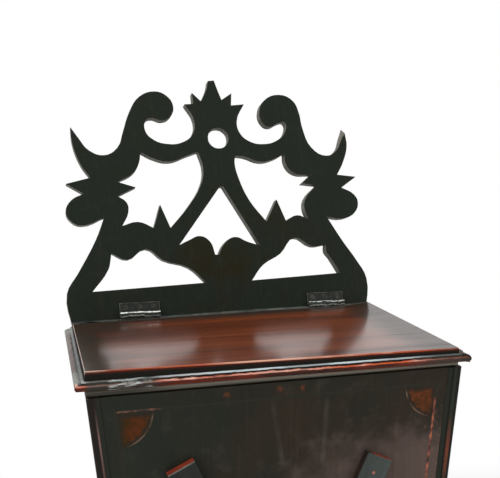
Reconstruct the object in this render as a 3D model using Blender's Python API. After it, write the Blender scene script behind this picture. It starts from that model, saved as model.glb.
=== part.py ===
"""Wall-hanging cutlery box: pierced back board, sloping hinged lid, tapering case with an inlaid front.

Metres, +Z up. The origin is on the floor under the middle of the box, and the front faces -Y.
"""

import math

import bmesh
import bpy
from mathutils import Matrix, Vector

# Clearances
CLEARANCE = 0.0003
INLAY_CLEARANCE = 0.0002
LID_SEAT = 0.0004

# Case: its width is that of the front's top edge and of the lid board; the sides close in by the taper, down
# the front, and by the flare, towards the back
CASE_WIDTH = 0.282
CASE_DEPTH = 0.167
LID_LINE_HEIGHT = 0.3744
SIDE_TAPER = math.radians(6.2)
SIDE_FLARE = math.radians(3.0)
FRONT_LEAN = math.radians(13.5)
BACK_THICKNESS = 0.0095
SIDE_THICKNESS = 0.0095
FRONT_THICKNESS = 0.0095
SIDE_EDGE_ROUND = 0.0022
BOTTOM_THICKNESS = 0.010
BOTTOM_LIP = 0.006
BOTTOM_ROUND = 0.0035

# Fret: the height of the crest over the lid line, how far the hips stand out beside the lid board, the depth
# of the sloping shoulders below the lid line, and the hole that it hangs by
FRET_HEIGHT = 0.2261
HIP_OVERHANG = 0.0036
SHOULDER_DEPTH = 0.0055
SHOULDER_FALL = 0.0030
HANGING_HOLE_RADIUS = 0.0101
FRET_STEPS = 4

# Lid: its board stands a little ahead of the front, and the moulding further
LID_OVERHANG = 0.0016
LID_THICKNESS = 0.0154
LID_SLOPE = math.radians(14.3)
LID_REAR_GAP = 0.0047
MOULDING_WIDTH = 0.0070
MOULDING_HEIGHT = 0.0069
MOULDING_OFFSET = 0.0026

# Hinges
HINGE_WIDTH = 0.0363
LEFT_HINGE_MARGIN = 0.0601
RIGHT_HINGE_MARGIN = 0.0424
HINGE_KNUCKLES = 5
KNUCKLE_RADIUS = 0.003
HINGE_PIN_RADIUS = 0.0013
LEAF_THICKNESS = 0.0014
BACK_LEAF_HEIGHT = 0.0108
LID_LEAF_HEIGHT = 0.0145
HINGE_SCREW_SPACING = 0.0125
SCREW_SLOT_TURNS = (25, 95, 165)

# Fasteners
SCREW_HEAD_RADIUS = 0.0024
SCREW_HEAD_DEPTH = 0.0013
SCREW_SHANK_RADIUS = 0.0012
SCREW_LENGTH = 0.0085
SCREW_SLOT_WIDTH = 0.0006
SCREW_SLOT_DEPTH = 0.0005
NAIL_HEAD_RADIUS = 0.0022
NAIL_HEAD_DEPTH = 0.0012
NAIL_SHANK_RADIUS = 0.0011
NAIL_LENGTH = 0.026
BRAD_HEAD_RADIUS = 0.0014
BRAD_HEAD_DEPTH = 0.0008
BRAD_SHANK_RADIUS = 0.0008
BRAD_LENGTH = 0.0117
BACK_NAIL_MARGIN = 0.040
BOTTOM_NAIL_MARGIN = 0.022

# Inlay on the front
STRING_WIDTH = 0.0013
STRING_DEPTH = 0.0016
STRING_SIDE_MARGIN = 0.0175
STRING_END_MARGIN = 0.0108
FAN_RADIUS = 0.0250
FAN_DEPTH = 0.0014

# Knife and fork applied to the front, a little left of its middle: the square ends of their handles stand
# below the front's top edge and the points above its foot; a handle narrows from its waist to its neck
CUTLERY_TILT = math.radians(24.5)
CUTLERY_THICKNESS = 0.0064
HANDLE_WIDTH = 0.0208
HANDLE_LENGTH = 0.090
HANDLE_WAIST = 0.35
NECK_WIDTH = 0.0150
COLLAR_WIDTH = 0.0177
COLLAR_LENGTH = 0.0045
COLLAR_CHAMFER = 0.0008
CUTLERY_SPACING = 0.1502
CUTLERY_SHIFT = 0.0030
KNIFE_TOP_MARGIN = 0.0612
KNIFE_FOOT_MARGIN = 0.0230
BLADE_WIDTH = 0.0225
FORK_TOP_MARGIN = 0.0529
FORK_FOOT_MARGIN = 0.0360
FORK_HEAD_WIDTH = 0.0250
TINE_LENGTH = 0.052
TINE_GAP = 0.0042
BRAD_MARGIN = 0.0130

# The fret as it was drawn on the board, in millimetres: each row is a kind of point and its place on the
# left and on the right half, out from the middle and up from the lid line. The halves were cut by hand, so
# they differ a little. "turn" is a sharp point and "flow" is a point on a running curve.
DRAWN_HIP = 144.6
DRAWN_HIP_UP = 25.6
DRAWN_CREST = 225.9
DRAWN_LID_EDGE = 141.0
HANGING_HOLE_AT = (2.9, 168.0)
OUTER_EDGE = [
    # crest with two leaves
    ("turn", (3.8, 225.1), (2.2, 225.9)),
    ("flow", (5.9, 216.6), (5.4, 215.6)),
    ("turn", (11.9, 204.6), (8.7, 206.3)),
    ("turn", (20.3, 213.0), (19.0, 213.2)),
    ("turn", (19.9, 201.9), (17.9, 200.9)),
    ("turn", (28.3, 201.4), (30.9, 202.2)),
    # hollow between the crest and the scroll
    ("flow", (19.9, 185.1), (22.7, 185.6)),
    ("flow", (22.3, 171.6), (25.2, 172.6)),
    ("flow", (33.3, 163.6), (35.7, 164.2)),
    ("flow", (46.3, 162.3), (47.7, 162.2)),
    ("flow", (59.3, 166.1), (61.7, 165.6)),
    ("flow", (67.3, 175.1), (71.7, 175.6)),
    ("flow", (65.8, 185.6), (71.2, 184.4)),
    ("flow", (60.3, 187.5), (65.9, 183.8)),
    # scroll
    ("flow", (51.3, 185.1), (54.7, 179.6)),
    ("flow", (42.3, 189.3), (47.7, 185.1)),
    ("flow", (39.3, 199.6), (46.0, 194.6)),
    ("flow", (45.3, 209.6), (51.7, 206.2)),
    ("flow", (56.3, 213.7), (67.7, 212.5)),
    ("flow", (71.3, 208.3), (81.7, 206.6)),
    ("flow", (81.3, 193.6), (87.2, 194.6)),
    ("flow", (87.3, 176.6), (89.7, 178.6)),
    # sweep up to the horn
    ("flow", (94.3, 158.6), (97.7, 158.6)),
    ("flow", (106.3, 151.7), (112.7, 150.3)),
    ("flow", (120.3, 156.4), (123.7, 155.4)),
    ("flow", (129.3, 168.1), (130.7, 167.6)),
    ("turn", (136.1, 178.3), (134.7, 173.4)),
    ("flow", (135.1, 163.6), (135.7, 160.6)),
    ("flow", (128.3, 143.1), (129.7, 142.6)),
    # spur and ear
    ("turn", (119.9, 130.6), (122.7, 130.8)),
    ("turn", (142.0, 125.1), (142.5, 128.4)),
    ("turn", (126.6, 115.6), (126.2, 117.6)),
    ("flow", (137.8, 109.9), (138.7, 110.6)),
    ("flow", (143.1, 99.6), (142.5, 102.6)),
    ("flow", (138.3, 89.9), (138.2, 92.1)),
    ("flow", (129.3, 86.3), (125.7, 86.3)),
    ("turn", (109.1, 93.2), (107.9, 88.5)),
    # leg down to the hip
    ("flow", (116.8, 74.1), (123.3, 62.6)),
    ("flow", (134.3, 43.1), (134.9, 45.1)),
    ("flow", (DRAWN_HIP, DRAWN_HIP_UP), (DRAWN_HIP, DRAWN_HIP_UP)),
]
UPPER_OPENING = [
    ("turn", (17.9, 154.6), (18.7, 150.6)),
    ("flow", (28.3, 151.0), (27.7, 149.6)),
    ("flow", (46.3, 145.1), (43.7, 144.4)),
    ("flow", (61.3, 148.4), (58.7, 147.4)),
    ("turn", (72.9, 154.6), (68.7, 152.6)),
    ("flow", (74.7, 144.1), (69.5, 142.0)),
    ("flow", (80.5, 134.4), (77.7, 132.6)),
    ("turn", (95.8, 126.4), (94.9, 131.0)),
    ("turn", (78.9, 121.0), (84.5, 122.4)),
    ("turn", (95.9, 112.9), (100.3, 120.4)),
    ("flow", (87.8, 106.6), (87.0, 107.1)),
    ("flow", (86.8, 97.6), (85.1, 97.6)),
    ("turn", (92.8, 85.1), (88.7, 86.1)),
    ("flow", (78.3, 88.4), (77.2, 90.8)),
    ("turn", (64.0, 82.3), (65.3, 85.6)),
    ("turn", (57.0, 104.1), (57.3, 106.8)),
    ("turn", (48.3, 81.8), (45.5, 85.4)),
    ("flow", (29.8, 102.6), (29.7, 106.6)),
    ("flow", (16.3, 124.1), (20.7, 128.1)),
    ("flow", (13.9, 138.6), (17.6, 143.6)),
]
MIDDLE_OPENING = [
    ("turn", (-1.5, 120.5), (4.5, 120.5)),
    ("turn", (40.8, 65.6), (37.6, 62.2)),
    ("flow", (31.0, 70.0), (25.0, 66.4)),
    ("flow", (21.0, 73.4), (12.5, 71.4)),
    ("flow", (11.5, 67.8), (2.5, 65.6)),
    ("turn", (7.3, 55.2), (-4.0, 54.9)),
]
LOWER_OPENING = [
    ("turn", (17.6, 29.2), (27.0, 29.2)),
    ("flow", (33.2, 43.8), (38.4, 43.0)),
    ("flow", (57.0, 51.8), (57.0, 53.6)),
    ("flow", (72.5, 62.8), (72.5, 68.5)),
    ("flow", (89.5, 53.6), (90.5, 59.6)),
    ("turn", (104.2, 60.2), (104.6, 60.8)),
    ("flow", (104.9, 54.6), (104.4, 53.6)),
    ("flow", (107.4, 45.1), (108.4, 47.8)),
    ("turn", (122.2, 25.9), (117.0, 32.4)),
]

# Section of the lid moulding, in parts of its width (out) and of its height (down)
MOULDING_SECTION = [
    ("turn", 0.00, 0.00),
    ("flow", 0.17, 0.02),
    ("turn", 0.34, 0.17),
    ("turn", 0.34, 0.27),
    ("flow", 0.66, 0.31),
    ("flow", 0.92, 0.46),
    ("flow", 1.00, 0.65),
    ("turn", 0.93, 0.85),
    ("turn", 0.88, 0.87),
    ("turn", 0.88, 1.00),
    ("turn", 0.00, 1.00),
]
SECTION_STEPS = 4

# Blade of the knife, round from its edge to its back: parts of half its width and of its length
KNIFE_BLADE = [
    ("turn", 0.84, 0.00),
    ("flow", 1.00, 0.60),
    ("flow", 1.00, 0.86),
    ("flow", 0.45, 0.98),
    ("turn", -0.84, 0.95),
    ("flow", -0.84, 0.55),
    ("turn", -0.84, 0.00),
]

# Fork: its stem in parts of half the neck's width and of the stem's length, then its shoulders in parts of
# half the head's width and, above the roots of the tines, of the head's width
FORK_STEM = [("turn", 0.84, 0.00), ("flow", 0.60, 0.45)]
FORK_SHOULDER = [("flow", 0.80, 0.50), ("flow", 1.00, 0.10)]

# Fineness of round work
ROUND_SEGMENTS = 12
KNUCKLE_SEGMENTS = 20
EDGE_STEPS = 4
TOUCH = 1e-6
SHARP_ANGLE = math.radians(35)

# Finishes: base colour, roughness, metallic
FINISHES = {
    "dark_mahogany": ((0.030, 0.024, 0.018), 0.45, 0.0),
    "red_mahogany": ((0.150, 0.050, 0.022), 0.35, 0.0),
    "boxwood": ((0.330, 0.190, 0.080), 0.45, 0.0),
    "shaded_satinwood": ((0.240, 0.090, 0.030), 0.40, 0.0),
    "iron": ((0.090, 0.085, 0.080), 0.45, 1.0),
    "steel": ((0.320, 0.310, 0.300), 0.40, 1.0),
    "brass": ((0.420, 0.280, 0.090), 0.40, 1.0),
}

# Places worked out from the sizes above; Y is counted from the middle of the box
SIDE_SPREAD = math.tan(SIDE_FLARE)
SIDE_RISE = (math.tan(SIDE_TAPER) - SIDE_SPREAD * math.sin(FRONT_LEAN)) / math.cos(FRONT_LEAN)
SIDE_SPAN = SIDE_THICKNESS * math.hypot(1, SIDE_SPREAD, SIDE_RISE)
LID_AHEAD = Vector((0, -math.cos(LID_SLOPE), -math.sin(LID_SLOPE)))
LID_UP = Vector((0, -math.sin(LID_SLOPE), math.cos(LID_SLOPE)))
LID_LENGTH = (CASE_DEPTH - LID_REAR_GAP + LID_OVERHANG) / math.cos(LID_SLOPE)
MOULDING_REACH = max(
    -LID_AHEAD.y * out * MOULDING_WIDTH + LID_UP.y * (MOULDING_OFFSET + down * MOULDING_HEIGHT)
    for _, out, down in MOULDING_SECTION
)
NOSE_REACH = LID_REAR_GAP - LID_AHEAD.y * (LID_LENGTH + CLEARANCE) + MOULDING_REACH
FACE_Y = (NOSE_REACH - BACK_THICKNESS) / 2
LID_REAR = Vector((0, FACE_Y - LID_REAR_GAP, LID_LINE_HEIGHT))
RIM_REAR = LID_REAR - LID_UP * (LID_THICKNESS + LID_SEAT)
FRONT_TOP = RIM_REAR + LID_AHEAD * ((CASE_DEPTH - (FACE_Y - RIM_REAR.y)) / -LID_AHEAD.y)
FRONT_OUT = Vector((0, -math.cos(FRONT_LEAN), -math.sin(FRONT_LEAN)))
FLOOR_INSIDE = BOTTOM_THICKNESS + CLEARANCE
FRONT_HEIGHT = (FRONT_TOP.z - FLOOR_INSIDE) / math.cos(FRONT_LEAN)
KNIFE_LENGTH = (FRONT_HEIGHT - KNIFE_TOP_MARGIN - KNIFE_FOOT_MARGIN) / math.cos(CUTLERY_TILT)
FORK_LENGTH = (FRONT_HEIGHT - FORK_TOP_MARGIN - FORK_FOOT_MARGIN) / math.cos(CUTLERY_TILT)
HINGE_AXIS = LID_REAR + Vector((0, LID_REAR_GAP - CLEARANCE - KNUCKLE_RADIUS, KNUCKLE_RADIUS + CLEARANCE))

LID_FRAME = Matrix.Translation(LID_REAR) @ Matrix.Rotation(LID_SLOPE, 4, "X")
FRONT_FRAME = Matrix.Translation(FRONT_TOP) @ Matrix.Rotation(math.radians(90) + FRONT_LEAN, 4, "X")
BACK_MIDDLE = Vector((0, FACE_Y + BACK_THICKNESS / 2, 0))
BACK_FRAME = Matrix.Translation(BACK_MIDDLE) @ Matrix.Rotation(math.radians(90), 4, "X")


def half_width(height, ahead=0.0):
    """Half of the case's outer width at a height above the floor and a distance ahead of the back board."""
    return CASE_WIDTH / 2 + SIDE_RISE * (height - FRONT_TOP.z) + SIDE_SPREAD * (ahead - CASE_DEPTH)


def side_face(side):
    """A point on the outer face of a side and the direction out of it."""
    corner = FRONT_TOP + Vector((side * CASE_WIDTH / 2, 0, 0))
    return corner, Vector((side, SIDE_SPREAD, -SIDE_RISE)).normalized()


def front_y(height):
    """Y of the front's outer face at a height above the floor."""
    return FRONT_TOP.y + math.tan(FRONT_LEAN) * (FRONT_TOP.z - height)


def clear_scene():
    for item in list(bpy.data.objects):
        bpy.data.objects.remove(item, do_unlink=True)


def add_collection(name):
    collection = bpy.data.collections.new(name)
    bpy.context.scene.collection.children.link(collection)
    return collection


clear_scene()
PARTS = add_collection("cutlery_box")
CUTTERS = add_collection("cutters")
CUTTERS.hide_render = True


def add_empty(name, place):
    empty = bpy.data.objects.new(name, None)
    empty.location = place
    PARTS.objects.link(empty)
    bpy.context.view_layer.update()
    return empty


CASE = add_empty("case_frame", (0, 0, 0))
LID = add_empty("lid_hinge_axis", HINGE_AXIS)


def add_part(name, mesh, finish, parent, place=None):
    """A sub-part with a material of its own, carried by the case or by the lid."""
    part = bpy.data.objects.new(name, mesh)
    PARTS.objects.link(part)
    colour, roughness, metallic = FINISHES[finish]
    material = bpy.data.materials.new(name + "_" + finish)
    material.use_nodes = True
    shader = material.node_tree.nodes["Principled BSDF"]
    shader.inputs["Base Color"].default_value = (*colour, 1.0)
    shader.inputs["Roughness"].default_value = roughness
    shader.inputs["Metallic"].default_value = metallic
    if not mesh.materials:
        mesh.materials.append(None)
    part.material_slots[0].link = "OBJECT"
    part.material_slots[0].material = material
    part.parent = parent
    part.matrix_parent_inverse = parent.matrix_world.inverted()
    part.matrix_basis = place or Matrix()
    return part


def add_cutter(name, mesh, place=None):
    cutter = bpy.data.objects.new(name, mesh)
    CUTTERS.objects.link(cutter)
    cutter.hide_render = True
    cutter.display_type = "WIRE"
    cutter.matrix_world = place or Matrix()
    return cutter


def apply_boolean(part, tool, operation="DIFFERENCE"):
    modifier = part.modifiers.new(tool.name, "BOOLEAN")
    modifier.operation = operation
    modifier.object = tool


def finish_mesh(name, shape):
    """Turns a bmesh into a mesh with outward faces, smooth where it is round."""
    bmesh.ops.remove_doubles(shape, verts=shape.verts, dist=TOUCH)
    bmesh.ops.recalc_face_normals(shape, faces=shape.faces)
    mesh = bpy.data.meshes.new(name)
    shape.to_mesh(mesh)
    shape.free()
    mesh.shade_smooth()
    mesh.set_sharp_from_angle(angle=SHARP_ANGLE)
    return mesh


def make_block(low, high):
    """A box between two corners, as a bmesh."""
    low = Vector(low)
    high = Vector(high)
    shape = bmesh.new()
    bmesh.ops.create_cube(shape, size=1.0)
    bmesh.ops.scale(shape, vec=high - low, verts=shape.verts)
    bmesh.ops.translate(shape, vec=(low + high) / 2, verts=shape.verts)
    return shape


def saw(shape, point, outward):
    """Cuts off what lies beyond a plane and closes the cut."""
    everything = shape.verts[:] + shape.edges[:] + shape.faces[:]
    bmesh.ops.bisect_plane(
        shape, geom=everything, dist=TOUCH / 10, plane_co=point, plane_no=outward, clear_outer=True
    )
    open_edges = [edge for edge in shape.edges if edge.is_boundary]
    bmesh.ops.holes_fill(shape, edges=open_edges, sides=0)


def round_edges(shape, chosen, radius):
    edges = [edge for edge in shape.edges if chosen(edge)]
    bmesh.ops.bevel(
        shape, geom=edges, offset=radius, segments=EDGE_STEPS, profile=0.5, affect="EDGES", material=-1
    )


def make_turned(name, profile, segments=ROUND_SEGMENTS):
    """A turned piece: a profile of (radius, height) points spun round Z."""
    shape = bmesh.new()
    points = [shape.verts.new((radius, 0, height)) for radius, height in profile]
    edges = [shape.edges.new(pair) for pair in zip(points, points[1:])]
    bmesh.ops.spin(
        shape,
        geom=points + edges,
        cent=(0, 0, 0),
        axis=(0, 0, 1),
        angle=math.tau,
        steps=segments,
        use_merge=True,
    )
    return finish_mesh(name, shape)


def make_flat(name, outlines, thickness, steps):
    """A flat piece from closed outlines of (kind, x, y) points, centred on its own XY plane."""
    curve = bpy.data.curves.new(name, "CURVE")
    curve.dimensions = "2D"
    curve.fill_mode = "BOTH"
    curve.extrude = thickness / 2
    curve.resolution_u = steps
    for outline in outlines:
        spline = curve.splines.new("BEZIER")
        spline.bezier_points.add(len(outline) - 1)
        spline.use_cyclic_u = True
        for knot, (kind, x, y) in zip(spline.bezier_points, outline):
            knot.co = (x, y, 0)
            knot.handle_left_type = "AUTO" if kind == "flow" else "VECTOR"
            knot.handle_right_type = knot.handle_left_type
    drawing = bpy.data.objects.new(name, curve)
    CUTTERS.objects.link(drawing)
    depsgraph = bpy.context.evaluated_depsgraph_get()
    outline_mesh = bpy.data.meshes.new_from_object(drawing.evaluated_get(depsgraph))
    bpy.data.objects.remove(drawing)
    shape = bmesh.new()
    shape.from_mesh(outline_mesh)
    return finish_mesh(name, shape)


def circle_outline(centre, radius, points=8):
    angles = [math.tau * step / points for step in range(points)]
    return [
        ("flow", centre[0] + radius * math.cos(angle), centre[1] + radius * math.sin(angle))
        for angle in angles
    ]


# Fasteners: each profile runs from the point up to the middle of the head, with the head's face at height 0


def screw_profile(grow=0.0, proud=0.0):
    head = SCREW_HEAD_RADIUS + grow
    shank = SCREW_SHANK_RADIUS + grow
    point = SCREW_LENGTH + grow
    top = [(head, proud)] if proud else []
    return [
        (0, -point),
        (shank / 2, -point),
        (shank, -point + 2 * SCREW_SHANK_RADIUS),
        (shank, -SCREW_HEAD_DEPTH),
        (head, grow),
        *top,
        (0, proud),
    ]


def headed_profile(head, depth, shank, length, grow=0.0, proud=0.0):
    """A nail or a brad with a flat head, or the hole for one."""
    return [
        (0, -length - grow),
        (shank / 2 + grow, -length - grow),
        (shank + grow, -length + 3 * shank),
        (shank + grow, -depth - grow),
        (head + grow, -depth - grow),
        (head + grow, proud),
        (0, proud),
    ]


def brad_profile(grow=0.0, proud=0.0):
    return headed_profile(BRAD_HEAD_RADIUS, BRAD_HEAD_DEPTH, BRAD_SHANK_RADIUS, BRAD_LENGTH, grow, proud)


def nail_profile(grow=0.0, proud=0.0):
    return headed_profile(NAIL_HEAD_RADIUS, NAIL_HEAD_DEPTH, NAIL_SHANK_RADIUS, NAIL_LENGTH, grow, proud)


HOLE_PROUD = 0.002


def make_slotted_screw():
    """The mesh that all the hinge screws share."""
    blank = add_cutter("screw_blank", make_turned("screw_blank", screw_profile()))
    reach = 2 * SCREW_HEAD_RADIUS
    low = (-reach, -SCREW_SLOT_WIDTH / 2, -SCREW_SLOT_DEPTH)
    high = (reach, SCREW_SLOT_WIDTH / 2, SCREW_HEAD_DEPTH)
    apply_boolean(blank, add_cutter("screw_slot", finish_mesh("screw_slot", make_block(low, high))))
    depsgraph = bpy.context.evaluated_depsgraph_get()
    return bpy.data.meshes.new_from_object(blank.evaluated_get(depsgraph))


def drive(name, mesh, hole_profile, place, finish, parent, through):
    """Puts a fastener in place and cuts its hole in each piece that it goes through."""
    add_part(name, mesh, finish, parent, place)
    hole = add_cutter(name + "_hole", make_turned(name + "_hole", hole_profile), place)
    for piece in through:
        apply_boolean(piece, hole)


# Case


def fret_point(across, up):
    """A drawn point in metres: the drawing is fitted to the board's width at its hips and to its height."""
    wide = (CASE_WIDTH / 2 + HIP_OVERHANG) / DRAWN_HIP
    return across * wide, LID_LINE_HEIGHT + up * FRET_HEIGHT / DRAWN_CREST


def fret_outline(rows, both_halves=False):
    """Outlines in metres from the drawn rows, one for each half or one closed round both."""
    left = [(kind, *fret_point(-out, up)) for kind, (out, up), _ in rows]
    right = [(kind, *fret_point(out, up)) for kind, _, (out, up) in rows]
    if both_halves:
        return [left[::-1] + right]
    return [left, right]


def make_back_board():
    """The fret, with shoulders beside the lid's rear edge, and below them the back of the case."""
    shoulder_out = fret_point(DRAWN_LID_EDGE, 0)[0]
    shoulder = LID_LINE_HEIGHT - SHOULDER_DEPTH
    fallen = shoulder - SHOULDER_FALL
    right_side = [(shoulder_out, shoulder), (half_width(fallen), fallen), (half_width(0), 0)]
    outer = fret_outline(OUTER_EDGE, both_halves=True)[0]
    outer += [("turn", out, height) for out, height in right_side]
    outer += [("turn", -out, height) for out, height in right_side[::-1]]
    outlines = [outer, circle_outline(fret_point(*HANGING_HOLE_AT), HANGING_HOLE_RADIUS)]
    outlines += fret_outline(UPPER_OPENING)
    outlines += fret_outline(MIDDLE_OPENING, both_halves=True)
    outlines += fret_outline(LOWER_OPENING)
    mesh = make_flat("back_board", outlines, BACK_THICKNESS, FRET_STEPS)
    return add_part("back_board", mesh, "dark_mahogany", CASE, BACK_FRAME)


def make_side(name, side):
    """A tapering side: a block sawn to the lid's slope, the front's lean and the taper of the case."""
    outer, across = side_face(side)
    low = (min(0, side * CASE_WIDTH), FACE_Y - 2 * CASE_DEPTH, FLOOR_INSIDE)
    high = (max(0, side * CASE_WIDTH), FACE_Y - CLEARANCE, 2 * LID_LINE_HEIGHT)
    shape = make_block(low, high)
    saw(shape, outer, across)
    saw(shape, outer - across * SIDE_THICKNESS, -across)
    saw(shape, RIM_REAR, LID_UP)
    saw(shape, FRONT_TOP, FRONT_OUT)

    def is_front_arris(edge):
        on_front = all(abs((vert.co - FRONT_TOP).dot(FRONT_OUT)) < TOUCH for vert in edge.verts)
        on_outside = all(abs((vert.co - outer).dot(across)) < TOUCH for vert in edge.verts)
        return on_front and on_outside

    round_edges(shape, is_front_arris, SIDE_EDGE_ROUND)
    return add_part(name, finish_mesh(name, shape), "dark_mahogany", CASE)


def make_front_panel():
    low = (-CASE_WIDTH, FACE_Y - 2 * CASE_DEPTH, FLOOR_INSIDE)
    high = (CASE_WIDTH, FACE_Y, 2 * LID_LINE_HEIGHT)
    shape = make_block(low, high)
    saw(shape, FRONT_TOP, FRONT_OUT)
    saw(shape, FRONT_TOP - FRONT_OUT * FRONT_THICKNESS, -FRONT_OUT)
    saw(shape, RIM_REAR, LID_UP)
    for side in (-1, 1):
        outer, across = side_face(side)
        saw(shape, outer - across * (SIDE_THICKNESS + CLEARANCE), across)
    return add_part("front_panel", finish_mesh("front_panel", shape), "dark_mahogany", CASE)


def make_bottom_board():
    reach = half_width(BOTTOM_THICKNESS) + BOTTOM_LIP
    front = front_y(BOTTOM_THICKNESS) - BOTTOM_LIP
    rear = FACE_Y - CLEARANCE
    shape = make_block((-CASE_WIDTH, front, 0), (CASE_WIDTH, rear, BOTTOM_THICKNESS))
    for side in (-1, 1):
        saw(shape, (side * reach, FACE_Y, 0), (side, SIDE_SPREAD, 0))

    def is_worked(edge):
        on_rear = any(abs(vert.co.y - rear) < TOUCH for vert in edge.verts)
        level = abs(edge.verts[0].co.z - edge.verts[1].co.z) < TOUCH
        both_rear = all(abs(vert.co.y - rear) < TOUCH for vert in edge.verts)
        return (level and not both_rear) or (not level and not on_rear)

    round_edges(shape, is_worked, BOTTOM_ROUND)
    return add_part("bottom_board", finish_mesh("bottom_board", shape), "dark_mahogany", CASE)


# Lid


def make_lid_board():
    low = (-CASE_WIDTH / 2, -LID_LENGTH, -LID_THICKNESS)
    high = (CASE_WIDTH / 2, LID_THICKNESS, 0)
    shape = make_block(low, high)
    saw(shape, (0, 0, 0), (0, math.cos(LID_SLOPE), -math.sin(LID_SLOPE)))
    return add_part("lid_board", finish_mesh("lid_board", shape), "red_mahogany", LID, LID_FRAME)


def make_moulding_strip(name, length):
    """A straight strip along X: its back on the XZ plane, its face towards -Y, its top at Z = 0."""
    section = [
        (kind, -out * MOULDING_WIDTH, -down * MOULDING_HEIGHT) for kind, out, down in MOULDING_SECTION
    ]
    mesh = make_flat(name, [section], length, SECTION_STEPS)
    shape = bmesh.new()
    shape.from_mesh(mesh)
    along_x = Matrix(((0, 0, 1, 0), (1, 0, 0, 0), (0, 1, 0, 0), (0, 0, 0, 1)))
    bmesh.ops.transform(shape, matrix=along_x, verts=shape.verts)
    return shape


def make_lid_mouldings():
    edge_x = CASE_WIDTH / 2 + CLEARANCE
    edge_y = -LID_LENGTH - CLEARANCE
    mitre = CLEARANCE / 2
    front = make_moulding_strip("lid_moulding_front", CASE_WIDTH + 4 * MOULDING_WIDTH)
    bmesh.ops.translate(front, vec=(0, edge_y, -MOULDING_OFFSET), verts=front.verts)
    for side in (-1, 1):
        saw(front, (side * (edge_x - mitre), edge_y - mitre, 0), (side, 1, 0))
    front_mesh = finish_mesh("lid_moulding_front", front)
    add_part("lid_moulding_front", front_mesh, "dark_mahogany", LID, LID_FRAME)
    for name, side in (("lid_moulding_left", -1), ("lid_moulding_right", 1)):
        strip = make_moulding_strip(name, LID_LENGTH + 4 * MOULDING_WIDTH)
        bmesh.ops.rotate(strip, matrix=Matrix.Rotation(side * math.radians(90), 3, "Z"), verts=strip.verts)
        middle = -LID_LENGTH / 2
        bmesh.ops.translate(strip, vec=(side * edge_x, middle, -MOULDING_OFFSET), verts=strip.verts)
        saw(strip, (side * (edge_x + mitre), edge_y + mitre, 0), (-side, -1, 0))
        saw(strip, (0, 0, 0), (0, math.cos(LID_SLOPE), -math.sin(LID_SLOPE)))
        add_part(name, finish_mesh(name, strip), "dark_mahogany", LID, LID_FRAME)


# Hinges


def make_bar(name, radius, start, length):
    """A round bar along X, with a flat of its facets towards the leaf that it may join."""
    profile = [(0, start), (radius, start), (radius, start + length), (0, start + length)]
    mesh = make_turned(name, profile, KNUCKLE_SEGMENTS)
    half_facet = Matrix.Rotation(math.pi / KNUCKLE_SEGMENTS, 4, "Z")
    mesh.transform(Matrix.Rotation(math.radians(90), 4, "Y") @ half_facet)
    return mesh


def make_leaf(name, low, high, place, own_knuckles, parent):
    """A leaf with its knuckles, cut clear of the other leaf's knuckles and bored for the pin."""
    pitch = HINGE_WIDTH / HINGE_KNUCKLES
    leaf = add_part(name, finish_mesh(name, make_block(low, high)), "iron", parent, place)
    for number in range(HINGE_KNUCKLES):
        start = -HINGE_WIDTH / 2 + number * pitch
        label = name + "_knuckle_" + str(number)
        if number in own_knuckles:
            bar = make_bar(label, KNUCKLE_RADIUS, start + CLEARANCE / 2, pitch - CLEARANCE)
            apply_boolean(leaf, add_cutter(label, bar, place), "UNION")
        else:
            room = make_bar(label, KNUCKLE_RADIUS + CLEARANCE, start, pitch)
            apply_boolean(leaf, add_cutter(label, room, place))
    bore = make_bar(name + "_bore", HINGE_PIN_RADIUS + CLEARANCE / 2, -HINGE_WIDTH, 2 * HINGE_WIDTH)
    apply_boolean(leaf, add_cutter(name + "_bore", bore, place))
    return leaf


def make_hinge(name, centre_x, back_board, lid_board, screw):
    """A butt hinge: one leaf up the back board's face, one down the lid's rear edge, screwed to each."""
    place = Matrix.Translation(HINGE_AXIS + Vector((centre_x, 0, 0)))
    half = HINGE_WIDTH / 2
    board_face = FACE_Y - HINGE_AXIS.y
    lid_face = LID_REAR.y - HINGE_AXIS.y
    odd = range(1, HINGE_KNUCKLES, 2)
    even = range(0, HINGE_KNUCKLES, 2)
    back_low = (-half, board_face - CLEARANCE - LEAF_THICKNESS, 0)
    back_high = (half, board_face - CLEARANCE, BACK_LEAF_HEIGHT)
    lid_low = (-half, lid_face + CLEARANCE, -LID_LEAF_HEIGHT)
    lid_high = (half, lid_face + CLEARANCE + LEAF_THICKNESS, 0)
    back_leaf = make_leaf(name + "_back_leaf", back_low, back_high, place, even, CASE)
    lid_leaf = make_leaf(name + "_lid_leaf", lid_low, lid_high, place, odd, LID)

    pin_length = HINGE_WIDTH - 2 * CLEARANCE
    pin = make_bar(name + "_pin", HINGE_PIN_RADIUS, -pin_length / 2, pin_length)
    add_part(name + "_pin", pin, "steel", CASE, place)

    back_row = (BACK_LEAF_HEIGHT + KNUCKLE_RADIUS) / 2
    lid_row = -(LID_LEAF_HEIGHT + KNUCKLE_RADIUS) / 2
    to_front = Matrix.Rotation(math.radians(90), 4, "X")
    to_rear = Matrix.Rotation(math.radians(-90), 4, "X")
    hole = screw_profile(CLEARANCE, HOLE_PROUD)
    for number, degrees in enumerate(SCREW_SLOT_TURNS, 1):
        offset = (number - (len(SCREW_SLOT_TURNS) + 1) / 2) * HINGE_SCREW_SPACING
        turn = Matrix.Rotation(math.radians(degrees), 4, "Z")
        at_back = place @ Matrix.Translation((offset, back_low[1], back_row)) @ to_front @ turn
        at_lid = place @ Matrix.Translation((offset, lid_high[1], lid_row)) @ to_rear @ turn
        back_name = name + "_back_screw_" + str(number)
        lid_name = name + "_lid_screw_" + str(number)
        drive(back_name, screw, hole, at_back, "iron", CASE, (back_leaf, back_board))
        drive(lid_name, screw, hole, at_lid, "iron", LID, (lid_leaf, lid_board))


# Inlay, in the front's own frame: X across, Y up the face, Z out of it


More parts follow.
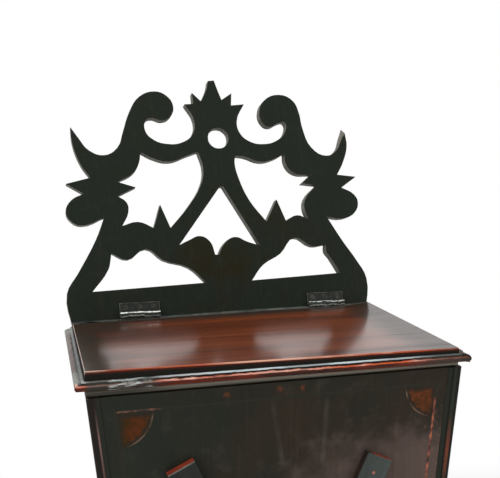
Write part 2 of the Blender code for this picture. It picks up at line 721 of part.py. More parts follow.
def front_half_width(drop):
    """Half of the case's width on the front face, at a distance down the face."""
    return CASE_WIDTH / 2 - drop * math.tan(SIDE_TAPER)


def string_corner(side, drop):
    """A corner of the stringing's outer edge."""
    return Vector((side * (front_half_width(drop) - STRING_SIDE_MARGIN), -drop, 0))


def inlay(name, outline, grown, depth, finish, panel):
    """Lets a flat piece into the panel, flush with its face."""
    place = FRONT_FRAME @ Matrix.Translation((0, 0, -depth / 2))
    add_part(name, make_flat(name, [outline], depth, SECTION_STEPS), finish, CASE, place)
    pocket_depth = 2 * (depth + INLAY_CLEARANCE)
    pocket = make_flat(name + "_pocket", [grown], pocket_depth, SECTION_STEPS)
    apply_boolean(panel, add_cutter(name + "_pocket", pocket, FRONT_FRAME))


def strip_outline(start, end, short, grow):
    """A straight strip from start to end, on the right of that direction, cut short at both ends."""
    along = (end - start).normalized()
    across = Vector((along.y, -along.x, 0))
    near = start + along * short
    far = end - along * short
    left = across * -grow
    right = across * (STRING_WIDTH + grow)
    return [("turn", point.x, point.y) for point in (near + left, far + left, far + right, near + right)]


def make_stringing(panel):
    low_drop = FRONT_HEIGHT - STRING_END_MARGIN
    top_left = string_corner(-1, STRING_END_MARGIN)
    top_right = string_corner(1, STRING_END_MARGIN)
    low_right = string_corner(1, low_drop)
    low_left = string_corner(-1, low_drop)
    butt = STRING_WIDTH + INLAY_CLEARANCE
    runs = [
        ("stringing_top", top_left, top_right, 0.0),
        ("stringing_right", top_right, low_right, butt),
        ("stringing_bottom", low_right, low_left, 0.0),
        ("stringing_left", low_left, top_left, butt),
    ]
    for name, start, end, short in runs:
        strip = strip_outline(start, end, short, 0.0)
        groove = strip_outline(start, end, short - INLAY_CLEARANCE, INLAY_CLEARANCE)
        inlay(name, strip, groove, STRING_DEPTH, "boxwood", panel)


def fan_outline(corner, along, down, grow):
    """A quarter round with its point in the corner, between two directions along the stringing."""
    middle = (along + down).normalized()
    reach = FAN_RADIUS + grow
    straight = FAN_RADIUS + 2 * grow
    back = middle * (-grow * math.sqrt(2))
    points = [("turn", corner + back), ("turn", corner + back + along * straight)]
    points += [
        ("flow", corner + (along * math.cos(turn) + down * math.sin(turn)).normalized() * reach)
        for turn in (math.pi / 8, math.pi / 4, 3 * math.pi / 8)
    ]
    points += [("turn", corner + back + down * straight)]
    return [(kind, point.x, point.y) for kind, point in points]


def make_fans(panel):
    step_in = STRING_WIDTH + 3 * INLAY_CLEARANCE
    low_drop = FRONT_HEIGHT - STRING_END_MARGIN
    lean_left = (string_corner(-1, low_drop) - string_corner(-1, STRING_END_MARGIN)).normalized()
    lean_right = (string_corner(1, low_drop) - string_corner(1, STRING_END_MARGIN)).normalized()
    across = Vector((1, 0, 0))
    corners = [
        ("fan_top_left", string_corner(-1, STRING_END_MARGIN), across, lean_left),
        ("fan_top_right", string_corner(1, STRING_END_MARGIN), -across, lean_right),
        ("fan_bottom_left", string_corner(-1, low_drop), across, -lean_left),
        ("fan_bottom_right", string_corner(1, low_drop), -across, -lean_right),
    ]
    for name, corner, along, down in corners:
        point = corner + (along + down) * step_in
        outline = fan_outline(point, along, down, 0.0)
        pocket = fan_outline(point, along, down, INLAY_CLEARANCE)
        inlay(name, outline, pocket, FAN_DEPTH, "shaded_satinwood", panel)


# Knife and fork, each drawn along -Y from the middle of its handle's square end


def handle_side(grow):
    """One side of a handle and its collar, from the square end down: (kind, half width, distance)."""
    end = HANDLE_WIDTH / 2 + grow
    neck = NECK_WIDTH / 2 + grow
    collar = COLLAR_WIDTH / 2 + grow
    return [
        ("turn", end, 0.0),
        ("flow", end, HANDLE_WAIST * HANDLE_LENGTH),
        ("turn", neck, HANDLE_LENGTH - COLLAR_LENGTH - COLLAR_CHAMFER),
        ("turn", collar, HANDLE_LENGTH - COLLAR_LENGTH),
        ("turn", collar, HANDLE_LENGTH),
    ]


def knife_outline(grow=0.0):
    root = HANDLE_LENGTH + COLLAR_CHAMFER
    length = KNIFE_LENGTH - root
    blade = [
        (kind, out * BLADE_WIDTH / 2 + math.copysign(grow, out), root + down * length)
        for kind, out, down in KNIFE_BLADE
    ]
    left = [(kind, -half, down) for kind, half, down in handle_side(grow)]
    return [(kind, x, -down) for kind, x, down in handle_side(grow) + blade + left[::-1]]


def fork_outline(grow=0.0):
    root = HANDLE_LENGTH + COLLAR_CHAMFER
    shoulder = FORK_LENGTH - TINE_LENGTH
    head = FORK_HEAD_WIDTH / 2 + grow
    side = handle_side(grow)
    side += [
        (kind, out * NECK_WIDTH / 2 + grow, root + down * (shoulder - root))
        for kind, out, down in FORK_STEM
    ]
    side += [(kind, out * head, shoulder - up * FORK_HEAD_WIDTH) for kind, out, up in FORK_SHOULDER]
    side += [("turn", head, FORK_LENGTH)]
    left = [(kind, -half, down) for kind, half, down in side]
    return [(kind, x, -down) for kind, x, down in side + left[::-1]]


def tine_slot(centre):
    """The gap between two tines, round at its root and open past their points."""
    half = TINE_GAP / 2
    root = -(FORK_LENGTH - TINE_LENGTH)
    return [
        ("turn", centre + half, -2 * FORK_LENGTH),
        ("turn", centre + half, root - half),
        ("flow", centre, root),
        ("turn", centre - half, root - half),
        ("turn", centre - half, -2 * FORK_LENGTH),
    ]


def make_knife_and_fork(panel):
    """The two pieces are halved over each other where they cross: the knife lies on top."""
    half_depth = CUTLERY_THICKNESS / 2
    lift = CLEARANCE + half_depth
    aside = CUTLERY_SPACING / 2
    knife_turn = Matrix.Rotation(-CUTLERY_TILT, 4, "Z")
    fork_turn = Matrix.Rotation(CUTLERY_TILT, 4, "Z")
    knife_end = Matrix.Translation((aside - CUTLERY_SHIFT, -KNIFE_TOP_MARGIN, lift))
    fork_end = Matrix.Translation((-aside - CUTLERY_SHIFT, -FORK_TOP_MARGIN, lift))
    knife_place = FRONT_FRAME @ knife_end @ knife_turn
    fork_place = FRONT_FRAME @ fork_end @ fork_turn

    knife_mesh = make_flat("knife", [knife_outline()], CUTLERY_THICKNESS, SECTION_STEPS)
    fork_mesh = make_flat("fork", [fork_outline()], CUTLERY_THICKNESS, SECTION_STEPS)
    knife = add_part("knife", knife_mesh, "red_mahogany", CASE, knife_place)
    fork = add_part("fork", fork_mesh, "red_mahogany", CASE, fork_place)

    notch_shift = Matrix.Translation((0, 0, half_depth - CLEARANCE / 2))
    knife_room = make_flat("knife_room", [knife_outline(CLEARANCE)], CUTLERY_THICKNESS, SECTION_STEPS)
    fork_room = make_flat("fork_room", [fork_outline(CLEARANCE)], CUTLERY_THICKNESS, SECTION_STEPS)
    apply_boolean(fork, add_cutter("knife_room", knife_room, knife_place @ notch_shift))
    apply_boolean(knife, add_cutter("fork_room", fork_room, fork_place @ notch_shift.inverted()))

    pitch = (FORK_HEAD_WIDTH + TINE_GAP) / 3
    for number, centre in enumerate((-pitch / 2, pitch / 2), 1):
        label = "tine_slot_" + str(number)
        slot = make_flat(label, [tine_slot(centre)], 3 * CUTLERY_THICKNESS, SECTION_STEPS)
        apply_boolean(fork, add_cutter(label, slot, fork_place))

    brad = make_turned("brad", brad_profile())
    brad_rows = {"knife": (knife, knife_place), "fork": (fork, fork_place)}
    for name, (piece, place) in brad_rows.items():
        for number, down in enumerate((BRAD_MARGIN, HANDLE_LENGTH - BRAD_MARGIN), 1):
            at = place @ Matrix.Translation((0, -down, half_depth))
            label = name + "_brad_" + str(number)
            drive(label, brad, brad_profile(CLEARANCE, HOLE_PROUD), at, "brass", CASE, (piece, panel))


# Nails that hold the case together, with their heads let in flush


def make_nails(back_board, bottom_board, sides):
    nail = make_turned("nail", nail_profile())
    hole = nail_profile(CLEARANCE, HOLE_PROUD)
    from_back = Matrix.Rotation(math.radians(-90), 4, "X")
    from_below = Matrix.Rotation(math.radians(180), 4, "X")
    lowest = FLOOR_INSIDE + BACK_NAIL_MARGIN
    highest = RIM_REAR.z - BACK_NAIL_MARGIN
    foremost = front_y(FLOOR_INSIDE) + BOTTOM_NAIL_MARGIN
    rearmost = FACE_Y - 2 * BOTTOM_NAIL_MARGIN
    for name, side in (("left", -1), ("right", 1)):
        for number, height in enumerate((lowest, (lowest + highest) / 2, highest), 1):
            x = side * (half_width(height) - SIDE_SPAN / 2)
            place = Matrix.Translation((x, FACE_Y + BACK_THICKNESS, height)) @ from_back
            label = name + "_back_nail_" + str(number)
            drive(label, nail, hole, place, "iron", CASE, (back_board, sides[name]))
        for number, y in enumerate((foremost, rearmost), 1):
            x = side * (half_width(NAIL_LENGTH, FACE_Y - y) - SIDE_SPAN / 2)
            place = Matrix.Translation((x, y, 0)) @ from_below
            label = name + "_bottom_nail_" + str(number)
            drive(label, nail, hole, place, "iron", CASE, (bottom_board, sides[name]))


def build():
    back_board = make_back_board()
    sides = {"left": make_side("left_side", -1), "right": make_side("right_side", 1)}
    front_panel = make_front_panel()
    bottom_board = make_bottom_board()
    lid_board = make_lid_board()
    make_lid_mouldings()
    screw = make_slotted_screw()
    make_hinge("left_hinge", LEFT_HINGE_MARGIN - CASE_WIDTH / 2, back_board, lid_board, screw)
    make_hinge("right_hinge", CASE_WIDTH / 2 - RIGHT_HINGE_MARGIN, back_board, lid_board, screw)
    make_stringing(front_panel)
    make_fans(front_panel)
    make_knife_and_fork(front_panel)
    make_nails(back_board, bottom_board, sides)


build()
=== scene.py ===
"""Looks of a wall-hanging cutlery box: dark mahogany, a red lid, iron hinges and an inlaid front.

Metres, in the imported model's frame: +Z up, the front towards -Y.
"""

import math

import bmesh
import bpy
from mathutils import Matrix, Vector


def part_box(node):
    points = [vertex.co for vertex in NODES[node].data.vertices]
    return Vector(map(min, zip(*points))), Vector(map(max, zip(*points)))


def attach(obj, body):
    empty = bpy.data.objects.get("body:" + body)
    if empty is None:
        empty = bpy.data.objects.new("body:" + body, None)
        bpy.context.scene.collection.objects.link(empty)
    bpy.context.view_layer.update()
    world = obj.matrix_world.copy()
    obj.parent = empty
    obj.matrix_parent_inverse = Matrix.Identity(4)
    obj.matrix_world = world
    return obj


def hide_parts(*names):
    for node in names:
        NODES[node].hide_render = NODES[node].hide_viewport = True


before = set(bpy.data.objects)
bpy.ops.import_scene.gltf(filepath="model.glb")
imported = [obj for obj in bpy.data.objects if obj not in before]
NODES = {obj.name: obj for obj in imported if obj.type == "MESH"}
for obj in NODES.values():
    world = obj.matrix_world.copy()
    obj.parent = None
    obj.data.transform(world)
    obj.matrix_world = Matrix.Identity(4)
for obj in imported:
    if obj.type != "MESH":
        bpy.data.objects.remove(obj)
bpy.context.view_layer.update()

# Places on the box: the lid and the front, each with a frame of its own, and the back board's two faces
LID_SLOPE = math.radians(14.3)
FRONT_LEAN = math.radians(13.5)
FRONT_THICKNESS = 0.0095
_, lid_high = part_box("lid_board")
front_low, front_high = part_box("front_panel")
board_low, board_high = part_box("back_board")
LID_REAR = Vector((0.0, lid_high.y, lid_high.z))
LID_HALF = lid_high.x
LID_FRONT = -0.1691
LID_TURN = (LID_SLOPE, 0.0, 0.0)
LID_FRAME = Matrix.Translation(LID_REAR) @ Matrix.Rotation(LID_SLOPE, 4, "X")
FRONT_TOP = Vector((0.0, front_low.y, front_high.z - FRONT_THICKNESS * math.sin(LID_SLOPE)))
FRONT_TURN = (math.pi / 2 + FRONT_LEAN, 0.0, 0.0)
FRONT_FRAME = Matrix.Translation(FRONT_TOP) @ Matrix.Rotation(FRONT_TURN[0], 4, "X")
FACE_Y = board_low.y
BACK_Y = board_high.y

# Heights on the lid's edge and its moulding, from the lid's top
MOULDING_CREST = -0.0044
MOULDING_HOLLOW = -0.0054
MOULDING_SHOULDER = -0.0061
MOULDING_FOOT = -0.0095
MOULDING_HEIGHT = 0.0069
LID_UNDERSIDE = -0.0154

# The old lid's warp and the sag of its moulding: sizes, and rates per metre across or ahead
RIGHT_REAR_RISE = 0.0026
RISE_RATE = 34.5
RISE_START = 3.864
LEFT_REAR_FALL = 0.0022
FALL_RATE = -5.85
FALL_START = 0.18
FRONT_TWIST = -0.0135
FRONT_RISE = 0.0005
RATE_AHEAD = -5.9
FIELD_WIDTH = 0.014
FIELD_DEPTH = 0.0283
MOULDING_SAG = 0.0015
SAG_RATE = 3.38
PLANED_SHARE = 0.78
FOOT_SINK = 1.6

# Room that the looks close, and the right side's and right horn's departures from true
INLAY_ROOM = 0.0002
JOINT_ROOM = 0.0003
RIGHT_SIDE_EXTRA = 0.0027
HORN_TIP = Vector((0.1347, BACK_Y, 0.5480))
HORN_REACH = 0.016
HORN_RISE = 0.0066
SKIN = 0.0005

# Which faces are walls, by the cosine of their direction, and where the front's left edge begins
WALL_LEAN = 0.3
FACING = 0.8
SQUARE_ON = 0.9
LEFT_EDGE = -0.085

# Tolerances, and arrises: how sharp they are, how far they are eased, and the shortest that are
WELD = 0.00001
SLIVER = 0.000004
FLAT_ANGLE = math.radians(0.6)
ARRIS_ANGLE = math.radians(38)
SHARP_ANGLE = math.radians(50)
BOARD_EASING = 0.0006
CUTLERY_EASING = 0.0007
LID_EASING = 0.0008
MOULDING_EASING = 0.00025
LEAF_EASING = 0.0002
SHORT_ARRIS = 0.0008
LONG_ARRIS = 0.003

# Inlay, knife, fork and marks on the front, in the front's own frame
FAN_RADIUS = 0.0250
PETALS = 5
PETAL_LENGTH = 0.0206
PETAL_ROUND = 0.0014
CUTLERY_TILT = math.radians(24.5)
KNIFE_END = (0.0721, -0.0612, 0.0)
FORK_END = (-0.0781, -0.0529, 0.0)
FRONT_SPECKS = ((-0.0433, -0.0059), (-0.0041, -0.0050), (0.0134, -0.0058))
FRONT_STREAKS = ((-0.0094, -0.0134, -0.0019, -0.0626), (0.0324, -0.0135, 0.0283, -0.0692))

# Hinge knuckles and the stain round a nail
KNUCKLE_RADIUS = 0.0031
NAIL_STAIN = 0.0105


def clamp(amount):
    """A number held between 0 and 1, as Value.clamp holds a socket."""
    return min(1.0, max(0.0, amount))


def distance(first, second):
    """How far a point lies from where both of its offsets are 0."""
    return (first * first + second * second) ** 0.5


def rear_fall(across, hold):
    """How far the lid's rear edge has dropped to the left; hold is the clamp of numbers or of sockets."""
    return hold(across * FALL_RATE + FALL_START) * LEFT_REAR_FALL


def lid_warp(across, ahead, hold):
    """How far the lid's top has left its plane: up at its right rear and left front, else down."""
    rear = hold(across * RISE_RATE - RISE_START) * RIGHT_REAR_RISE - rear_fall(across, hold)
    front = across * FRONT_TWIST + FRONT_RISE
    return rear + (front - rear) * hold(ahead * RATE_AHEAD)


def moulding_sag(across, ahead, hold):
    """How far the moulding has sunk: not at all at its left end, most at its right front corner."""
    return hold(across * SAG_RATE + 0.5) * hold(ahead * RATE_AHEAD) * MOULDING_SAG


def tone(red, green, blue):
    """A linear colour from its 0 to 255 screen values."""
    return tuple(((level / 255 + 0.055) / 1.055) ** 2.4 for level in (red, green, blue))


class Value:
    """A socket among the nodes of a finish; arithmetic on it adds Math nodes."""

    def __init__(self, finish, socket):
        self.finish = finish
        self.socket = socket

    def output(self, name):
        return Value(self.finish, self.socket.node.outputs[name])

    def __add__(self, other):
        return self.finish.math("ADD", self, other)

    def __radd__(self, other):
        return self.finish.math("ADD", other, self)

    def __sub__(self, other):
        return self.finish.math("SUBTRACT", self, other)

    def __rsub__(self, other):
        return self.finish.math("SUBTRACT", other, self)

    def __mul__(self, other):
        return self.finish.math("MULTIPLY", self, other)

    def __pow__(self, other):
        return self.finish.math("POWER", self, other)

    def __abs__(self):
        return self.finish.math("ABSOLUTE", self)

    def most(self, other):
        return self.finish.math("MAXIMUM", self, other)

    def least(self, other):
        return self.finish.math("MINIMUM", self, other)

    def clamp(self):
        return self.most(0.0).least(1.0)

    def between(self, start, end):
        """0 at start, smoothly 1 at end, whichever of them is the higher."""
        sockets = {"Value": self, "From Min": min(start, end), "From Max": max(start, end)}
        sockets["To Min"] = float(start > end)
        sockets["To Max"] = float(start < end)
        return self.finish.add("ShaderNodeMapRange", {"interpolation_type": "SMOOTHSTEP"}, sockets)

    def near(self, centre, half, fade):
        """1 within half of centre, falling to 0 over fade."""
        return abs(self - centre).between(half + fade, half)


class Finish:
    """A procedural material on a Principled shader, with the patterns that the finishes share."""

    def __init__(self, name, specular):
        self.material = bpy.data.materials.new(name)
        self.material.use_nodes = True
        self.nodes = self.material.node_tree.nodes
        self.links = self.material.node_tree.links
        self.shader = self.nodes["Principled BSDF"]
        self.shader.inputs["Specular IOR Level"].default_value = specular
        self.place = self.add("ShaderNodeTexCoord", output="Object")
        self.facing = self.place.output("Normal")

    def add(self, kind, settings=None, sockets=None, output=0):
        """Adds a node, sets and feeds it, and gives one of its outputs."""
        node = self.nodes.new(kind)
        for name, value in (settings or {}).items():
            setattr(node, name, value)
        for name, value in (sockets or {}).items():
            self.feed(node.inputs[name], value)
        return Value(self, node.outputs[output])

    def feed(self, socket, value):
        """Links a socket to a Value, or sets it to a number, a vector or a colour."""
        if isinstance(value, Value):
            self.links.new(value.socket, socket)
        elif socket.type == "RGBA":
            socket.default_value = (*value, 1.0)
        else:
            socket.default_value = value

    def math(self, operation, *operands):
        return self.add("ShaderNodeMath", {"operation": operation}, dict(enumerate(operands)))

    def mix(self, factor, first, second):
        sockets = {0: factor, 6: first, 7: second}
        return self.add("ShaderNodeMix", {"data_type": "RGBA"}, sockets, output=2)

    def local(self, origin, turn):
        """The place in a frame that is moved to origin and turned."""
        sockets = {"Vector": self.place, "Location": origin, "Rotation": turn}
        return self.add("ShaderNodeMapping", {"vector_type": "TEXTURE"}, sockets)

    def turned(self, vector, turn):
        """A direction in a frame that is turned."""
        sockets = {"Vector": vector, "Rotation": turn}
        return self.add("ShaderNodeMapping", {"vector_type": "TEXTURE"}, sockets)

    def parts(self, vector):
        """The three numbers of a vector."""
        split = self.add("ShaderNodeSeparateXYZ", sockets={"Vector": vector})
        return split, split.output("Y"), split.output("Z")

    def noise(self, place, stretch, detail=3.0, rough=0.55, warp=0.0):
        """Noise with a number of waves per metre for each axis of a place."""
        spread = self.add("ShaderNodeVectorMath", {"operation": "MULTIPLY"}, {0: place, 1: stretch})
        sockets = {"Vector": spread, "Scale": 1.0, "Detail": detail, "Roughness": rough}
        sockets["Distortion"] = warp
        return self.add("ShaderNodeTexNoise", sockets=sockets)

    def cloud(self, place, scale):
        """Noise that is the same in all directions."""
        return self.noise(place, (scale, scale, scale), 4.0, 0.62)

    def grain(self, place, along):
        """Broad figure, fine streaks and short open pores along one axis of a place."""

        def stretch(across, lengthwise):
            return tuple(lengthwise if axis == along else across for axis in range(3))

        figure = self.noise(place, stretch(30.0, 3.0), 3.0, 0.55, 0.7)
        streak = self.noise(place, stretch(330.0, 8.0), 4.0, 0.6, 0.2)
        pore = self.noise(place, stretch(1900.0, 80.0), 2.0, 0.5).between(0.6, 0.74)
        return figure, streak, pore

    def bare_wood(self, grain, cloud):
        """Unpolished inner and back faces, browned and stained by age."""
        figure, streak, pore = grain
        wood = self.mix(figure.between(0.3, 0.7), tone(92, 62, 40), tone(126, 90, 60))
        wood = self.mix(streak.between(0.45, 0.75) * 0.6, wood, tone(72, 48, 32))
        wood = self.mix(cloud.between(0.5, 0.78) * 0.6, wood, tone(56, 43, 33))
        return self.mix(pore * 0.6, wood, tone(42, 28, 19))

    def attribute(self, name):
        """A number that a mesh carries on its faces."""
        return self.add("ShaderNodeAttribute", {"attribute_name": name}, output="Fac")

    def surface(self, colour, roughness, height, depth):
        """Links the colour, the roughness and a bump of that depth in metres."""
        self.feed(self.shader.inputs["Base Color"], colour)
        self.feed(self.shader.inputs["Roughness"], roughness)
        bump = self.add("ShaderNodeBump", sockets={"Strength": 1.0, "Distance": depth, "Height": height})
        self.feed(self.shader.inputs["Normal"], bump)
        return self.material


def stand_in(work, node, ending, body, material):
    """Makes a shaped copy into a piece that stands for its CAD node."""
    for face in work.faces:
        face.smooth = True
    for edge in work.edges:
        edge.smooth = edge.calc_face_angle(0.0) < SHARP_ANGLE
    mesh = bpy.data.meshes.new(node + ending)
    work.to_mesh(mesh)
    work.free()
    mesh.materials.append(material)
    piece = bpy.data.objects.new(node + ending, mesh)
    bpy.context.scene.collection.objects.link(piece)
    shading = piece.modifiers.new("even_shading", "WEIGHTED_NORMAL")
    shading.keep_sharp = True
    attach(piece, body)
    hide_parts(node)


def copied(node):
    """A copy of a CAD node's mesh with its doubled points joined."""
    work = bmesh.new()
    work.from_mesh(NODES[node].data)
    bmesh.ops.remove_doubles(work, verts=work.verts, dist=WELD)
    return work


def eased(node, body, easing, shortest, material, reshape=None):
    """A copy of a CAD node that stands for it, with its arrises eased wherever they are long enough."""
    work = copied(node)
    bmesh.ops.dissolve_limit(work, angle_limit=FLAT_ANGLE, verts=work.verts, edges=work.edges)
    if reshape:
        reshape(work)
    rub = work.faces.layers.float.new("arris")
    corners = [edge for edge in work.edges if edge.calc_face_angle(0.0) > ARRIS_ANGLE]
    made = bmesh.ops.bevel(
        work,
        geom=[edge for edge in corners if edge.calc_length() > shortest],
        offset=easing,
        offset_type="OFFSET",
        affect="EDGES",
        segments=2,
        profile=0.5,
        material=-1,
        clamp_overlap=True,
    )
    for face in made["faces"]:
        face[rub] = 1.0
    bmesh.ops.dissolve_degenerate(work, dist=SLIVER, edges=work.edges)
    stand_in(work, node, "_eased", body, material)


def fitted(node, material, reshape):
    """A copy of a CAD node of the front that stands for it, let out until it fills its place."""
    work = copied(node)
    reshape(work)
    stand_in(work, node, "_fitted", "case", material)


def swell(work):
    """Lets an inlay out sideways, by the room left round it in its pocket."""
    out = FRONT_FRAME.to_3x3() @ Vector((0, 0, 1))
    pushes = []
    for vert in work.verts:
        walls = []
        for face in vert.link_faces:
            upright = abs(face.normal.dot(out)) < WALL_LEAN
            if upright and all(face.normal.dot(wall) < FACING for wall in walls):
                walls.append(face.normal.copy())
        pushes.append(sum(walls, Vector()) * INLAY_ROOM)
    for vert, push in zip(work.verts, pushes):
        vert.co += push


def fill_left_joint(work):
    """Lets the front out at its left edge, where old polish has filled the joint with the side."""
    into_front = FRONT_FRAME.inverted()
    turn = into_front.to_3x3()
    edge = set()
    for face in work.faces:
        places = [into_front @ vert.co for vert in face.verts]
        far_left = all(place.x < LEFT_EDGE for place in places)
        full_depth = min(place.z for place in places) < SKIN - FRONT_THICKNESS
        if far_left and full_depth and (turn @ face.normal).x < -SQUARE_ON:
            edge.update(face.verts)
    for vert in edge:
        vert.co.x -= JOINT_ROOM


def dress(nodes, material):
    """Gives CAD nodes that keep their own shape a finish."""
    for node in nodes:
        for slot in NODES[node].material_slots:
            slot.material = material


def chip_right_horn(work):
    """The saw left the tip of the right horn higher at the back than at the front."""
    for vert in work.verts:
        if vert.co.y > BACK_Y - SKIN:
            pull = max(0.0, 1.0 - (vert.co - HORN_TIP).length / HORN_REACH)
            vert.co.z += HORN_RISE * pull ** 1.5


def let_out_right_side(work):
    """The right side is a little thicker than the left, most of all at its upper front corner."""
    inner = [face for face in work.faces if face.normal.x < -FACING]
    wall = max(inner, key=lambda face: face.calc_area())
    origin = wall.calc_center_median()
    inward = wall.normal.copy()
    for vert in work.verts:
        share = clamp((origin - vert.co).dot(inward) / FRONT_THICKNESS)
        forward = min(1.0, (FACE_Y - vert.co.y) / (FACE_Y - FRONT_TOP.y))
        vert.co.x += RIGHT_SIDE_EXTRA * share * forward * vert.co.z / FRONT_TOP.z


def fret_polish():
    """Old near-black polish on the pierced board, its sawn edges turned grey and lit by a painted
    reflection, and its bare back.
    """
    finish = Finish("fret_polish", specular=0.06)
    grain = finish.grain(finish.place, 2)
    figure, streak, pore = grain
    facing = finish.parts(finish.facing)[1]
    front = facing.between(-0.8, -0.97)
    back = facing.between(0.8, 0.97)
    cloud = finish.cloud(finish.place, 16.0)
    blotch = finish.cloud(finish.place, 160.0)
    across, _, height = finish.parts(finish.place)
    low_middle = across.near(0.008, 0.03, 0.05) * height.between(0.5, 0.42)
    brown = cloud.between(0.38, 0.66) * (low_middle * 0.85 + 0.15)
    polish = finish.mix(brown, tone(25, 31, 25), tone(30, 26, 10))
    polish = finish.mix(blotch.between(0.48, 0.75) * 0.4, polish, tone(36, 40, 34))
    polish = finish.mix(streak.between(0.5, 0.8) * 0.35, polish, tone(46, 42, 33))
    polish = finish.mix(figure.between(0.52, 0.8) * 0.4, polish, tone(22, 26, 22))
    polish = finish.mix(pore * 0.6, polish, tone(14, 14, 12))
    saw_marks = finish.noise(finish.place, (420.0, 60.0, 420.0), 4.0, 0.65)
    patch = finish.cloud(finish.place, 60.0)
    # The sawn edges' grey is in part a painted reflection on their lacquer at a grazing angle.
    sheen_and_greying = (saw_marks * 0.6 + patch * 0.7).between(0.4, 0.95)
    sawn = finish.mix(sheen_and_greying, tone(54, 54, 48), tone(116, 113, 105))
    sawn = finish.mix(height.between(0.38, 0.34) * 0.8, sawn, tone(46, 36, 29))
    bare = finish.bare_wood(grain, cloud)
    for node in NODES:
        if "back_nail" in node:
            low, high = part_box(node)
            nail = (low + high) / 2
            away = distance(across - nail.x, height - nail.z) + blotch * 0.006
            bare = finish.mix(away.between(NAIL_STAIN, 0.004) * 0.8, bare, tone(40, 30, 24))
    joint = height - LID_REAR.z + rear_fall(across, Value.clamp)
    # A pale line just above the lid's rear: dusted, and lit by a painted highlight along the joint.
    dust_and_highlight = front * joint.between(-0.001, 0.0004) * joint.between(0.0022, 0.0009)
    polish = finish.mix(dust_and_highlight * (patch.between(0.3, 0.62) * 0.4 + 0.2), polish, tone(118, 122, 117))
    inside = height.between(LID_REAR.z - 0.006, LID_REAR.z - 0.012)
    colour = finish.mix(back.most(front * inside), finish.mix(front, sawn, polish), bare)
    rubbed = finish.attribute("arris") * finish.cloud(finish.place, 80.0).between(0.48, 0.68)
    colour = finish.mix(rubbed * 0.45, colour, tone(104, 94, 82))
    roughness = 0.38 + blotch * 0.18 + back * 0.25
    relief = streak * 0.4 - pore * 0.5 + (1.0 - front - back) * saw_marks
    return finish.surface(colour, roughness, relief, depth=0.00012)


def warp_lid(work):
    """Cuts the lid's board into narrow fields and lets its top follow the warp."""
    sideways = Vector((1, 0, 0))
    ahead = LID_FRAME.to_3x3() @ Vector((0, 1, 0))
    cuts = [(LID_REAR + Vector((FIELD_WIDTH * step, 0, 0)), sideways) for step in range(-9, 10)]
    cuts += [(LID_FRAME @ Vector((0, -FIELD_DEPTH * step, 0)), ahead) for step in range(1, 6)]
    for middle, direction in cuts:
        geometry = work.verts[:] + work.edges[:] + work.faces[:]
        bmesh.ops.bisect_plane(work, geom=geometry, plane_co=middle, plane_no=direction)
    into_lid = LID_FRAME.inverted()
    for vert in work.verts:
        place = into_lid @ vert.co
        if place.z > -SKIN:
            vert.co.z += lid_warp(place.x, place.y, clamp)


